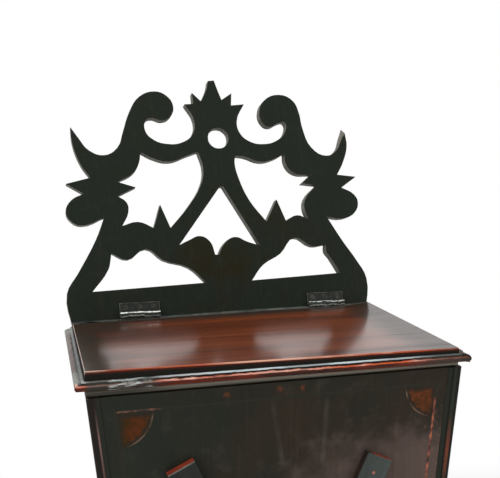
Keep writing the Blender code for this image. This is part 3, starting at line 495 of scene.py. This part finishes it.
def lid_polish():
    """Red polished mahogany, darkened at the hinges and ends by painted shade and dirt, its upper arrises
    worn orange with painted pale highlights.
    """
    finish = Finish("lid_polish", specular=0.08)
    finish.shader.inputs["Coat Roughness"].default_value = 0.15
    place = finish.local(LID_REAR, LID_TURN)
    across, ahead, height = finish.parts(place)
    grain = finish.grain(place, 0)
    figure, streak, pore = grain
    cloud = finish.noise(place, (16.0, 30.0, 30.0), 4.0, 0.6)
    band = finish.noise(place, (3.5, 85.0, 85.0), 4.0, 0.6, 0.15)
    level = height - lid_warp(across, ahead, Value.clamp)
    below = height + moulding_sag(across, ahead, Value.clamp)
    top = level.between(-0.0012, -0.0004)
    under = height.between(LID_UNDERSIDE + 0.0003, LID_UNDERSIDE + 0.00005)
    hairline = finish.noise(place, (5.0, 620.0, 620.0), 3.0, 0.6)
    red = finish.mix(figure.between(0.3, 0.7), tone(72, 28, 10), tone(106, 49, 21))
    red = finish.mix(band.between(0.48, 0.72) * 0.75, red, tone(44, 20, 12))
    red = finish.mix(band.between(0.46, 0.3) * 0.5, red, tone(122, 62, 34))
    red = finish.mix(streak.between(0.45, 0.75) * 0.6, red, tone(48, 21, 12))
    red = finish.mix(pore * 0.6, red, tone(30, 13, 9))
    # Darker along the rear, at the ends and towards the right hinge: painted shade, with dirt that also
    # dulls the coat.
    dirt = ahead.between(-0.034, 0.002).most(across.between(-0.1, -0.14))
    dirt = dirt.most(across.between(0.085, 0.13) * 0.85)
    dirt = dirt.most(ahead.between(-0.1, -0.01) * across.between(-0.05, -0.12))
    dirt = (dirt + cloud * 0.8 - 0.4).between(0.0, 0.9)
    red = finish.mix(dirt * 0.88, red, tone(34, 31, 26))
    # A pale line along the rear edge: dusted, and lit by a painted highlight.
    dust_and_highlight = ahead.between(-0.0034, -0.0008) * cloud.between(0.35, 0.55)
    red = finish.mix(dust_and_highlight * 0.45, red, tone(120, 116, 108))
    # The lid's edge faces painted grey, on the band under the moulding in part as a reflection of the
    # pale floor.
    ridge = finish.noise(place, (14.0, 400.0, 900.0), 3.0)
    edge = finish.mix(ridge.between(0.35, 0.65), tone(60, 60, 53), tone(104, 102, 93))
    grey_sheen = height.between(-0.0112, -0.0124) * (across.between(-0.13, -0.03) * 0.85 + 0.15)
    edge = finish.mix(grey_sheen * 0.6, edge, tone(112, 111, 103))
    line = below.near(-0.0126, 0.0002, 0.0005) * cloud.between(0.24, 0.42)
    edge = finish.mix(line * 0.7, edge, tone(140, 124, 110))
    # Painted shade on the band's left part.
    edge = finish.mix(across.between(-0.07, -0.115) * 0.6, edge, tone(34, 36, 31))
    # The lid's edge above the moulding painted near black, in part as shade in the step.
    edge = finish.mix(below.between(-0.0092, -0.0088), edge, tone(22, 20, 16))
    edge = finish.mix(level.near(-0.0018, 0.0003, 0.0005) * 0.8, edge, tone(66, 24, 13))
    colour = finish.mix(under, finish.mix(top, edge, red), finish.bare_wood(grain, cloud))
    left_end = across.between(0.002 - LID_HALF, 0.0007 - LID_HALF) * ahead.between(-0.006, -0.02)
    fore = ahead.between(LID_FRONT + 0.0007, LID_FRONT + 0.0002)
    upper = finish.attribute("arris") * level.between(-0.003, -0.001)
    upper = upper.most(fore * level.between(-0.0014, -0.0009))
    # The arris's orange is wear; its whitening is a painted highlight.
    arris_highlight = across.near(0.004, 0.03, 0.04) * cloud.between(0.25, 0.5) * 0.75
    arris_highlight = arris_highlight.most(across.between(-0.122, -0.136))
    arris_highlight = arris_highlight.most(cloud.between(0.52, 0.7) * 0.6)
    pale = finish.mix(arris_highlight, tone(166, 66, 24), tone(228, 180, 156))
    # The left end's arris painted pale as a highlight.
    left_arris_highlight = finish.mix(cloud.between(0.3, 0.6), tone(164, 130, 118), tone(204, 180, 168))
    pale = finish.mix(left_end, pale, left_arris_highlight)
    right_end = across.between(LID_HALF - 0.002, LID_HALF - 0.0007)
    right_end = right_end * ahead.between(LID_FRONT + 0.0011, LID_FRONT + 0.0051)
    pale = finish.mix(right_end, pale, tone(62, 57, 53))
    kept = across.between(0.14, 0.1) * 0.6 + 0.3
    shown = (cloud.between(0.2, 0.4) * kept + left_end + right_end).least(1.0)
    colour = finish.mix(upper * shown, colour, pale)
    # A painted shadow along the foot of the lid's front edge, over the gap to the case.
    lower = height.between(LID_UNDERSIDE + 0.0008, LID_UNDERSIDE + 0.0003) * (1.0 - under)
    colour = finish.mix(lower * 0.9, colour, tone(20, 22, 15))
    dulled = band.between(0.45, 0.7) * 0.12 + hairline.between(0.42, 0.7) * 0.2
    dulled = dulled + dirt * 0.22 + pore * 0.15
    lacquer = top * (0.92 - dulled)
    finish.feed(finish.shader.inputs["Coat Weight"], lacquer)
    roughness = 0.3 + band * 0.1 + (1.0 - top) * 0.2
    return finish.surface(colour, roughness, streak * 0.6 - pore * 0.3, depth=0.00005)


def lower_moulding(work):
    """Planes the moulding's top down, so that more of the lid's edge shows above it, and lets it sag."""
    into_lid = LID_FRAME.inverted()
    for vert in work.verts:
        place = into_lid @ vert.co
        above = (place.z - MOULDING_FOOT) * PLANED_SHARE
        place.z = MOULDING_FOOT + above - moulding_sag(place.x, place.y, clamp)
        vert.co = LID_FRAME @ place


def sink_right_foot(work):
    """Sinks the right moulding's foot and leaves its top, so that it stands proud at the mitre."""
    into_lid = LID_FRAME.inverted()
    for vert in work.verts:
        place = into_lid @ vert.co
        rise = (place.z - MOULDING_FOOT) / MOULDING_HEIGHT
        place.z -= moulding_sag(place.x, place.y, clamp) * (1.0 - rise) * FOOT_SINK
        vert.co = LID_FRAME @ place


def moulding_polish():
    """Dark polish in the moulding's hollows, worn orange with painted highlights on its rounds, dusted
    and with painted highlights at the left.
    """
    finish = Finish("moulding_polish", specular=0.12)
    place = finish.local(LID_REAR, LID_TURN)
    across, ahead, height = finish.parts(place)
    lengthwise = finish.noise(place, (24.0, 24.0, 240.0), 3.0)
    streak = finish.noise(place, (40.0, 40.0, 900.0), 3.0)
    cloud = finish.cloud(place, 50.0)
    dent = finish.cloud(place, 140.0)
    worn = height + moulding_sag(across, ahead, Value.clamp) + (dent - 0.5) * 0.0012
    colour = finish.mix(lengthwise.between(0.35, 0.7), tone(40, 19, 11), tone(96, 31, 13))
    colour = finish.mix(streak.between(0.45, 0.75) * 0.5, colour, tone(28, 16, 11))
    hollow = worn.near(MOULDING_HOLLOW, 0.0003, 0.0003)
    colour = finish.mix(hollow * 0.95, colour, tone(14, 12, 10))
    # A painted highlight along the moulding's upper round.
    brightest = across.near(0.02, 0.05, 0.06) * 0.4 + 0.55
    crest_highlight = worn.near(MOULDING_CREST, 0.0002, 0.0005) * (lengthwise.between(0.34, 0.52) * 0.45 + 0.55)
    colour = finish.mix(crest_highlight * brightest, colour, tone(174, 187, 190))
    # The shoulder: worn orange, turned whitish by a painted highlight.
    shoulder_highlight = lengthwise.between(0.46, 0.64).most(across.near(-0.004, 0.015, 0.04) * 0.7)
    orange = finish.mix(shoulder_highlight, tone(176, 76, 34), tone(206, 158, 142))
    shoulder = worn.near(MOULDING_SHOULDER, 0.0001, 0.0004) * cloud.between(0.32, 0.5)
    colour = finish.mix(shoulder * 0.85, colour, orange)
    left_strip = across.between(0.0005 - LID_HALF, -0.0005 - LID_HALF)
    left_strip = left_strip * ahead.between(LID_FRONT - 0.0004, LID_FRONT + 0.0031)
    colour = finish.mix(left_strip * 0.85, colour, tone(34, 36, 32))
    # Pale streaks on the left strip: dusted, and lit by painted highlights.
    drift = finish.noise(place, (260.0, 24.0, 260.0), 4.0, 0.6)
    stain = ahead.near(-0.085, 0.04, 0.03) * 0.36
    dust_and_highlight = left_strip * (drift + dent * 0.3 - stain).between(0.5, 0.76)
    colour = finish.mix(dust_and_highlight * 0.85, colour, tone(120, 123, 117))
    fore = ahead.between(LID_FRONT + 0.0031, LID_FRONT + 0.0001)
    dull = across.between(-0.085, -0.1) * across.between(-0.0025 - LID_HALF, 0.0025 - LID_HALF)
    dull = fore * dull.most(across.between(0.09, 0.125) * 0.9)
    dulled = finish.mix(streak, tone(20, 21, 18), tone(52, 52, 46))
    colour = finish.mix(dull * 0.85, colour, dulled)
    returned = (across + ahead).between(-0.0283, -0.0280) * across.between(0.1, 0.11)
    upper = (height + dent * 0.0014).between(-0.0056, MOULDING_CREST)
    proud = finish.mix(upper, tone(40, 35, 29), tone(92, 91, 86))
    proud = finish.mix(height.between(-0.0104, -0.0112), proud, tone(74, 72, 69))
    colour = finish.mix(returned * 0.92, colour, proud)
    scrape = finish.noise(place, (70.0, 70.0, 700.0), 4.0, 0.65)
    scuff = fore * across.near(-0.111, 0.012, 0.014) * scrape
    colour = finish.mix(scuff.between(0.46, 0.62) * 0.8, colour, tone(150, 154, 152))
    roughness = 0.16 + cloud * 0.14 + dust_and_highlight * 0.25
    return finish.surface(colour, roughness, streak * 0.3 + dent, depth=0.0004)


def front_polish():
    """Dark greenish-brown polish on the leaning front, with a painted sheen at the right, and old marks
    and specks.
    """
    finish = Finish("front_polish", specular=0.09)
    place = finish.local(FRONT_TOP, FRONT_TURN)
    across, climb, out = finish.parts(place)
    grain = finish.grain(place, 1)
    figure, streak, pore = grain
    cloud = finish.noise(place, (14.0, 11.0, 14.0), 4.0, 0.6)
    blotch = finish.cloud(place, 55.0)
    speckle = finish.cloud(place, 260.0)
    polish = finish.mix(cloud.between(0.36, 0.66), tone(28, 31, 24), tone(40, 32, 24))
    polish = finish.mix(across.between(-0.03, -0.11) * 0.6, polish, tone(29, 34, 28))
    polish = finish.mix(figure.between(0.5, 0.75) * 0.4, polish, tone(25, 25, 20))
    polish = finish.mix(streak.between(0.5, 0.78) * 0.35, polish, tone(54, 42, 33))
    polish = finish.mix(blotch.between(0.52, 0.72) * 0.4, polish, tone(50, 49, 43))
    polish = finish.mix(pore * 0.6, polish, tone(16, 13, 10))
    # A painted sheen at the lower right: the reflection of the pale floor.
    painted_sheen = across.between(-0.06, 0.11) * climb.between(-0.02, -0.075)
    painted_sheen = (painted_sheen + blotch * 1.1 - 0.6).between(0.05, 0.9)
    sheen_tone = finish.mix(streak, tone(94, 74, 68), tone(68, 62, 58))
    polish = finish.mix(painted_sheen * 0.8, polish, sheen_tone)
    for left, top, right, foot in FRONT_STREAKS:
        path = (climb - top) * ((right - left) / (foot - top)) + left
        length = climb.between(foot - 0.004, foot + 0.01) * climb.between(top + 0.003, top - 0.01)
        mark = (across - path).near(0.0, 0.0006, 0.0022) * length * blotch.between(0.25, 0.6)
        polish = finish.mix(mark * 0.16, polish, tone(96, 88, 84))
    for east, north in FRONT_SPECKS:
        speck = distance(across - east, climb - north) + speckle * 0.007
        polish = finish.mix(speck.between(0.0066, 0.0034) * 0.6, polish, tone(98, 50, 26))
    chafed = across.near(0.118, 0.003, 0.008) * speckle.between(0.54, 0.68)
    polish = finish.mix(chafed * climb.between(-0.008, -0.03) * 0.8, polish, tone(108, 70, 62))
    inside = out.between(0.001 - FRONT_THICKNESS, 0.0001 - FRONT_THICKNESS)
    colour = finish.mix(inside, polish, finish.bare_wood(grain, cloud))
    roughness = 0.34 + blotch * 0.2 + inside * 0.25
    return finish.surface(colour, roughness, streak * 0.5 - pore * 0.5 + blotch * 0.4, depth=0.0001)


def front_edge(finish, height, cloud):
    """The sides' front edges: the front's polish at the joint, black outside, with painted highlights in
    between.
    """
    points = [FRONT_FRAME.inverted() @ vert.co for vert in NODES["front_panel"].data.vertices]
    reach = max(point.x for point in points)
    foot = min(point.y for point in points)
    slope = (max(point.x for point in points if point.y < foot + 0.002) - reach) / foot
    across, climb, _ = finish.parts(finish.local(FRONT_TOP, FRONT_TURN))
    step = abs(across) - (climb * slope + reach)
    right = across.between(-0.01, 0.01)
    edge = finish.mix(right, tone(25, 20, 17), tone(15, 15, 12))
    edge = finish.mix(step.between(0.0045, 0.0036), edge, tone(30, 33, 27))
    groove = right * step.near(0.0051, 0.0003, 0.0006)
    edge = finish.mix(groove * 0.8, edge, tone(10, 11, 9))
    # On the right, a greenish painted highlight strip on the edge's front face.
    strip = right * step.near(0.0072, 0.0011, 0.0008)
    edge = finish.mix(strip * 0.6, edge, tone(42, 50, 43))
    rust = strip * height.between(0.285, 0.25) * cloud.between(0.34, 0.56)
    edge = finish.mix(rust * 0.85, edge, tone(108, 54, 36))
    # On the left, a pale painted highlight along the rounded arris.
    line = (1.0 - right) * step.near(0.0047, 0.0003, 0.0006) * height.between(0.315, 0.28)
    return finish.mix(line * (cloud.between(0.3, 0.6) * 0.4 + 0.35), edge, tone(132, 100, 94))


def side_polish():
    """Dark polish on the tapering sides, with painted highlights and rubbed arrises along their front
    edges, bare wood inside.
    """
    finish = Finish("side_polish", specular=0.09)
    grain = finish.grain(finish.place, 2)
    figure, streak, pore = grain
    across, _, height = finish.parts(finish.place)
    sideways, ahead, _ = finish.parts(finish.facing)
    outward = sideways * finish.math("SIGN", across)
    inside = outward.between(-0.8, -0.95)
    cloud = finish.noise(finish.place, (20.0, 20.0, 12.0), 4.0, 0.6)
    polish = finish.mix(cloud.between(0.38, 0.66), tone(28, 31, 25), tone(38, 31, 25))
    polish = finish.mix(figure.between(0.5, 0.75) * 0.5, polish, tone(25, 24, 20))
    polish = finish.mix(streak.between(0.45, 0.75) * 0.45, polish, tone(48, 36, 29))
    edge = front_edge(finish, height, cloud)
    polish = finish.mix(ahead.between(-0.3, -0.55) * 0.9, polish, edge)
    polish = finish.mix(pore * 0.6, polish, tone(16, 12, 10))
    colour = finish.mix(inside, polish, finish.bare_wood(grain, cloud))
    rubbed = finish.attribute("arris") * cloud.between(0.38, 0.6) * outward.between(0.05, 0.3)
    colour = finish.mix(rubbed * 0.5, colour, tone(112, 80, 68))
    roughness = 0.32 + cloud * 0.18 + inside * 0.3
    return finish.surface(colour, roughness, streak * 0.5 - pore * 0.5, depth=0.0001)


def cutlery_polish(name, handle_end, tilt, dark_face, pale_face, red_from, brink_highlight):
    """Grime on the face of the applied knife or fork, sides painted dark as shade, a painted highlight at
    the face's end, and a handle end red from one point on, darker before it.
    """
    finish = Finish(name, specular=0.2)
    turn = (FRONT_FRAME.to_3x3() @ Matrix.Rotation(tilt, 3, "Z")).to_euler()
    place = finish.local(FRONT_FRAME @ Vector(handle_end), turn)
    across, along, _ = finish.parts(place)
    figure, streak, pore = finish.grain(place, 1)
    _, upward, outward = finish.parts(finish.turned(finish.facing, turn))
    face = outward.between(0.75, 0.95)
    end = upward.between(0.5, 0.8) * along.between(-0.004, -0.001)
    cloud = finish.cloud(place, 50.0)
    # The face's grime; the knife's paler grey-green is also a painted sheen.
    grime = finish.mix(figure.between(0.3, 0.7), dark_face, pale_face)
    grime = finish.mix(streak.between(0.45, 0.75) * 0.5, grime, tone(38, 38, 33))
    grime = finish.mix(pore * 0.5, grime, tone(24, 22, 19))
    # The sides painted dark as shade.
    sides = finish.mix(cloud.between(0.35, 0.7), tone(24, 20, 16), tone(46, 32, 25))
    red = finish.mix(cloud.between(0.3, 0.7), tone(104, 36, 20), tone(146, 62, 42))
    red = finish.mix(streak.between(0.45, 0.75) * 0.4, red, tone(70, 27, 17))
    red = finish.mix(across.between(red_from, red_from - 0.003), red, tone(34, 27, 21))
    colour = finish.mix(end, finish.mix(face, sides, grime), red)
    rubbed = finish.attribute("arris") * cloud.between(0.35, 0.58)
    colour = finish.mix(rubbed * 0.55, colour, tone(136, 112, 98))
    # A painted highlight along the face's edge at the handle end.
    brink = face * along.between(-0.0014, -0.0006) * (streak * 0.8 + cloud * 0.8 - 0.3).clamp()
    colour = finish.mix(brink * brink_highlight, colour, tone(146, 142, 136))
    return finish.surface(colour, 0.4 + cloud * 0.2, streak * 0.5 - pore * 0.5, depth=0.0001)


def bottom_polish():
    """Dull dark wood of the bottom board, rubbed along its rounded lip."""
    finish = Finish("bottom_polish", specular=0.15)
    figure, streak, pore = finish.grain(finish.place, 0)
    cloud = finish.cloud(finish.place, 24.0)
    colour = finish.mix(figure.between(0.35, 0.7), tone(40, 33, 26), tone(66, 43, 31))
    colour = finish.mix(streak.between(0.45, 0.75) * 0.6, colour, tone(34, 25, 19))
    colour = finish.mix(cloud.between(0.45, 0.7) * 0.5, colour, tone(36, 35, 30))
    colour = finish.mix(pore * 0.5, colour, tone(20, 15, 12))
    rubbed = finish.attribute("arris") * cloud.between(0.35, 0.6)
    colour = finish.mix(rubbed * 0.6, colour, tone(118, 82, 62))
    return finish.surface(colour, 0.4 + cloud * 0.2, streak * 0.5 - pore * 0.5, depth=0.0001)


def stringing_wood():
    """Boxwood lines, gone orange under old polish and lost in dirt along most of their length."""
    finish = Finish("stringing_wood", specular=0.12)
    place = finish.local(FRONT_TOP, FRONT_TURN)
    across, climb, _ = finish.parts(place)
    cloud = finish.cloud(place, 110.0)
    fibre = finish.cloud(place, 500.0)
    top_left = across.near(-0.108, 0.009, 0.016) * climb.between(-0.0128, -0.0118) * 1.02
    right_line = across.between(0.095, 0.105) * climb.between(-0.016, -0.024)
    seen = (top_left.most(right_line) + cloud * 2.4 - 1.75).between(0.0, 0.6)
    wood = finish.mix(cloud.between(0.4, 0.62), tone(124, 60, 52), tone(166, 98, 70))
    wood = finish.mix(fibre.between(0.5, 0.7) * 0.5, wood, tone(112, 88, 72))
    wood = finish.mix(top_left * 0.6, wood, tone(84, 72, 62))
    dirt = finish.mix(fibre, tone(27, 27, 21), tone(37, 36, 29))
    colour = finish.mix(seen * 0.75, dirt, wood)
    return finish.surface(colour, 0.38 + cloud * 0.2, fibre, depth=0.00006)


def fan_wood(node):
    """A quarter fan of sand-shaded petals, dirty at its sides, with a pale line round its rim."""
    finish = Finish(node + "_wood", specular=0.06)
    points = [FRONT_FRAME.inverted() @ vert.co for vert in NODES[node].data.vertices]
    hand = math.copysign(1.0, points[0].x)
    end = 1.0 if "top" in node else -1.0
    corner_x = hand * max(hand * point.x for point in points)
    corner_y = end * max(end * point.y for point in points)
    place = finish.local(FRONT_TOP, FRONT_TURN)
    across, climb, _ = finish.parts(place)
    inward = (corner_x - across) * hand
    along = (corner_y - climb) * end
    radius = distance(inward, along)
    petal = finish.math("FRACT", finish.math("ARCTAN2", along, inward) * (PETALS / (math.pi / 2)))
    cloud = finish.cloud(place, 90.0)
    fibre = finish.noise(place, (480.0, 480.0, 480.0), 3.0)
    shaded, fresh = tone(53, 33, 6), tone(76, 37, 14)
    if hand > 0:
        shaded, fresh = tone(62, 37, 14), tone(94, 47, 25)
    wood = finish.mix(cloud.between(0.36, 0.66), shaded, fresh)
    wood = finish.mix(petal.between(0.35, 1.0) * 0.25, wood, tone(42, 27, 14))
    wood = finish.mix((petal - 0.5).near(0.0, 0.38, 0.12) * -0.2 + 0.2, wood, tone(34, 25, 15))
    tip = finish.math("SINE", petal * math.pi) * PETAL_ROUND + PETAL_LENGTH
    ground = (radius - tip).between(-0.0008, 0.0008)
    wood = finish.mix(ground * 0.85, wood, tone(36, 33, 26))
    rim = radius.near(FAN_RADIUS - 0.0007, 0.0002, 0.0006) * cloud.between(0.35, 0.6)
    wood = finish.mix(rim * 0.42, wood, tone(132, 112, 96))
    dirt = inward.least(along) + cloud * 0.003
    wood = finish.mix(dirt.between(0.0068, 0.0032) * 0.85, wood, tone(33, 33, 27))
    wood = finish.mix(fibre.between(0.45, 0.75) * 0.35, wood, tone(36, 28, 20))
    return finish.surface(wood, 0.36 + cloud * 0.2, fibre, depth=0.00006)


def old_iron():
    """Dark iron of the nails and screws with a brown bloom."""
    finish = Finish("screw_iron", specular=0.3)
    finish.shader.inputs["Metallic"].default_value = 0.6
    cloud = finish.cloud(finish.place, 240.0)
    pit = finish.noise(finish.place, (1400.0, 1400.0, 1400.0), 3.0)
    colour = finish.mix(cloud.between(0.35, 0.7), tone(40, 41, 38), tone(70, 68, 62))
    colour = finish.mix(cloud.between(0.6, 0.8) * 0.8, colour, tone(86, 52, 36))
    return finish.surface(colour, 0.36 + cloud * 0.2, pit * 0.4 + cloud, depth=0.00005)


def hinge_iron():
    """Dark leaves against the board, pale along their edges, and knuckles with two painted highlight
    lines.
    """
    finish = Finish("hinge_iron", specular=0.2)
    pin_low, pin_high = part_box("left_hinge_pin")
    axis = (pin_low + pin_high) / 2
    _, depth, height = finish.parts(finish.place)
    reach = distance(depth - axis.y, height - axis.z)
    knuckle = reach.between(KNUCKLE_RADIUS + 0.0005, KNUCKLE_RADIUS)
    cloud = finish.cloud(finish.place, 240.0)
    dent = finish.cloud(finish.place, 110.0)
    pit = finish.noise(finish.place, (1500.0, 1500.0, 1500.0), 3.0)
    leaf = finish.mix(cloud.between(0.35, 0.7), tone(22, 26, 22), tone(38, 39, 35))
    leaf = finish.mix(cloud.between(0.62, 0.8) * 0.7, leaf, tone(92, 58, 48))
    # Two painted highlight lines on the knuckle, set by which way its surface faces.
    turned_up = finish.parts(finish.facing)[2] + (dent - 0.5) * 1.3
    upper = turned_up.near(0.62, 0.06, 0.16)
    lower = turned_up.near(-0.5, 0.08, 0.16)
    bright = finish.mix(pit.between(0.4, 0.7), tone(186, 188, 184), tone(116, 116, 110))
    barrel = finish.mix(upper.most(lower * 0.8), tone(36, 40, 35), bright)
    colour = finish.mix(knuckle, leaf, barrel)
    rubbed = finish.attribute("arris") * dent.between(0.35, 0.55)
    colour = finish.mix(rubbed * 0.65, colour, tone(150, 150, 142))
    finish.feed(finish.shader.inputs["Metallic"], knuckle * upper * 0.5 + 0.2)
    roughness = 0.42 + cloud * 0.15 - knuckle * 0.12
    return finish.surface(colour, roughness, pit * 0.4 + dent, depth=0.00008)


def bright_steel():
    """Turned hinge pins."""
    finish = Finish("bright_steel", specular=0.5)
    finish.shader.inputs["Metallic"].default_value = 1.0
    rings = finish.noise(finish.place, (2600.0, 60.0, 60.0), 3.0)
    cloud = finish.cloud(finish.place, 300.0)
    colour = finish.mix(cloud.between(0.4, 0.75), tone(150, 146, 140), tone(92, 84, 76))
    return finish.surface(colour, 0.28 + cloud * 0.2, rings + cloud, depth=0.00004)


def old_brass():
    """Brads, reddened and dulled by polish."""
    finish = Finish("old_brass", specular=0.4)
    finish.shader.inputs["Metallic"].default_value = 0.5
    cloud = finish.cloud(finish.place, 500.0)
    colour = finish.mix(cloud.between(0.38, 0.62), tone(138, 100, 92), tone(122, 58, 46))
    return finish.surface(colour, 0.4 + cloud * 0.2, cloud, depth=0.00005)


side_finish = side_polish()
moulding_finish = moulding_polish()
leaf_finish = hinge_iron()
knife_finish = cutlery_polish(
    "knife_polish",
    KNIFE_END,
    -CUTLERY_TILT,
    dark_face=tone(42, 49, 46),
    pale_face=tone(64, 71, 68),
    red_from=-0.004,
    brink_highlight=0.0,
)
fork_finish = cutlery_polish(
    "fork_polish",
    FORK_END,
    CUTLERY_TILT,
    dark_face=tone(14, 19, 16),
    pale_face=tone(26, 31, 27),
    red_from=-0.012,
    brink_highlight=0.7,
)
eased("back_board", "case", BOARD_EASING, SHORT_ARRIS, fret_polish(), chip_right_horn)
eased("left_side", "case", BOARD_EASING, SHORT_ARRIS, side_finish)
eased("right_side", "case", BOARD_EASING, SHORT_ARRIS, side_finish, let_out_right_side)
eased("bottom_board", "case", BOARD_EASING, SHORT_ARRIS, bottom_polish())
eased("knife", "case", CUTLERY_EASING, SHORT_ARRIS, knife_finish)
eased("fork", "case", CUTLERY_EASING, SHORT_ARRIS, fork_finish)
eased("lid_board", "lid", LID_EASING, SHORT_ARRIS, lid_polish(), warp_lid)
for place in ("front", "left", "right"):
    settle = sink_right_foot if place == "right" else lower_moulding
    node = "lid_moulding_" + place
    eased(node, "lid", MOULDING_EASING, LONG_ARRIS, moulding_finish, settle)
for hand in ("left", "right"):
    eased(hand + "_hinge_back_leaf", "case", LEAF_EASING, LONG_ARRIS, leaf_finish)
    eased(hand + "_hinge_lid_leaf", "lid", LEAF_EASING, LONG_ARRIS, leaf_finish)

fitted("front_panel", front_polish(), fill_left_joint)
string_finish = stringing_wood()
for name in NODES:
    if name.startswith("stringing"):
        fitted(name, string_finish, swell)
    if name.startswith("fan"):
        fitted(name, fan_wood(name), swell)
dress([name for name in NODES if "screw" in name or "nail" in name], old_iron())
dress([name for name in NODES if name.endswith("hinge_pin")], bright_steel())
dress([name for name in NODES if "brad" in name], old_brass())


def seen_rays(finish):
    """1 for the rays by which the background is seen: directly, in gloss or through something clear."""
    path = finish.add("ShaderNodeLightPath", output="Is Camera Ray")
    return path.most(path.output("Is Glossy Ray")).most(path.output("Is Transmission Ray"))


def make_floor(radius, fade_start, fade_end):
    """A pale floor that keeps the shadow near the box and runs into the white background."""
    work = bmesh.new()
    bmesh.ops.create_circle(work, cap_ends=True, segments=96, radius=radius)
    mesh = bpy.data.meshes.new("floor")
    work.to_mesh(mesh)
    work.free()
    floor = bpy.data.objects.new("floor", mesh)
    bpy.context.scene.collection.objects.link(floor)
    finish = Finish("floor_paper", specular=0.2)
    east, north, _ = finish.parts(finish.place)
    far = distance(east, north).between(fade_start, fade_end) * seen_rays(finish)
    paper = finish.cloud(finish.place, 40.0)
    colour = finish.mix(paper, tone(232, 232, 230), tone(238, 238, 236))
    finish.surface(colour, 0.7 + paper * 0.1, paper, depth=0.0001)
    white = finish.add("ShaderNodeEmission", sockets={"Color": (1.0, 1.0, 1.0), "Strength": 1.0})
    plain = Value(finish, finish.shader.outputs["BSDF"])
    both = finish.add("ShaderNodeMixShader", sockets={0: far, 1: plain, 2: white})
    finish.feed(finish.nodes["Material Output"].inputs["Surface"], both)
    mesh.materials.append(finish.material)


class RoomLight(Finish):
    """The nodes of the world, whose Background stands where a material has its shader."""

    def __init__(self, world):
        self.nodes = world.node_tree.nodes
        self.links = world.node_tree.links
        self.shader = self.nodes["Background"]


def make_world(level):
    """White where it is seen, and a soft even light on the box."""
    world = bpy.data.worlds.new("white_room")
    world.use_nodes = True
    bpy.context.scene.world = world
    room = RoomLight(world)
    room.feed(room.shader.inputs["Color"], (1.0, 1.0, 1.0))
    room.feed(room.shader.inputs["Strength"], seen_rays(room) * (1.0 - level) + level)


def make_lamp(name, place, target, size, power):
    """A square lamp that is turned to its target."""
    lamp = bpy.data.lights.new(name, "AREA")
    lamp.shape = "SQUARE"
    lamp.size = size
    lamp.energy = power
    holder = bpy.data.objects.new(name, lamp)
    holder.location = place
    holder.rotation_euler = (Vector(target) - Vector(place)).to_track_quat("-Z", "Y").to_euler()
    bpy.context.scene.collection.objects.link(holder)


def make_camera(place, yaw, pitch, roll, lens):
    """The photograph's view: from the left of the middle, looking a little up, with the camera tilted."""
    ahead = Vector((math.sin(yaw) * math.cos(pitch), math.cos(yaw) * math.cos(pitch), math.sin(pitch)))
    level_right = Vector((math.cos(yaw), -math.sin(yaw), 0.0))
    level_up = level_right.cross(ahead)
    right = level_right * math.cos(roll) + level_up * math.sin(roll)
    up = level_up * math.cos(roll) - level_right * math.sin(roll)
    data = bpy.data.cameras.new("camera")
    data.sensor_fit = "HORIZONTAL"
    data.sensor_width = 36.0
    data.lens = lens
    camera = bpy.data.objects.new("camera", data)
    camera.matrix_world = Matrix.Translation(place) @ Matrix((right, up, -ahead)).transposed().to_4x4()
    bpy.context.scene.collection.objects.link(camera)
    bpy.context.scene.camera = camera


make_floor(radius=7.0, fade_start=0.55, fade_end=1.5)
make_world(level=0.5)
make_lamp("overhead", place=(-0.1, -0.25, 1.6), target=(0.0, -0.02, 0.35), size=1.0, power=14.0)
make_lamp("left_window", place=(-1.4, -0.9, 0.9), target=(0.0, 0.0, 0.3), size=1.2, power=18.0)
make_lamp("right_fill", place=(1.4, -1.1, 0.7), target=(0.0, 0.0, 0.25), size=1.2, power=9.0)
make_camera(
    place=Vector((-0.1685, FACE_Y - 0.703, 0.3502)),
    yaw=math.radians(15.59),
    pitch=math.radians(7.27),
    roll=math.radians(-3.98),
    lens=55.3,
)
bpy.context.scene.view_settings.view_transform = "Standard"
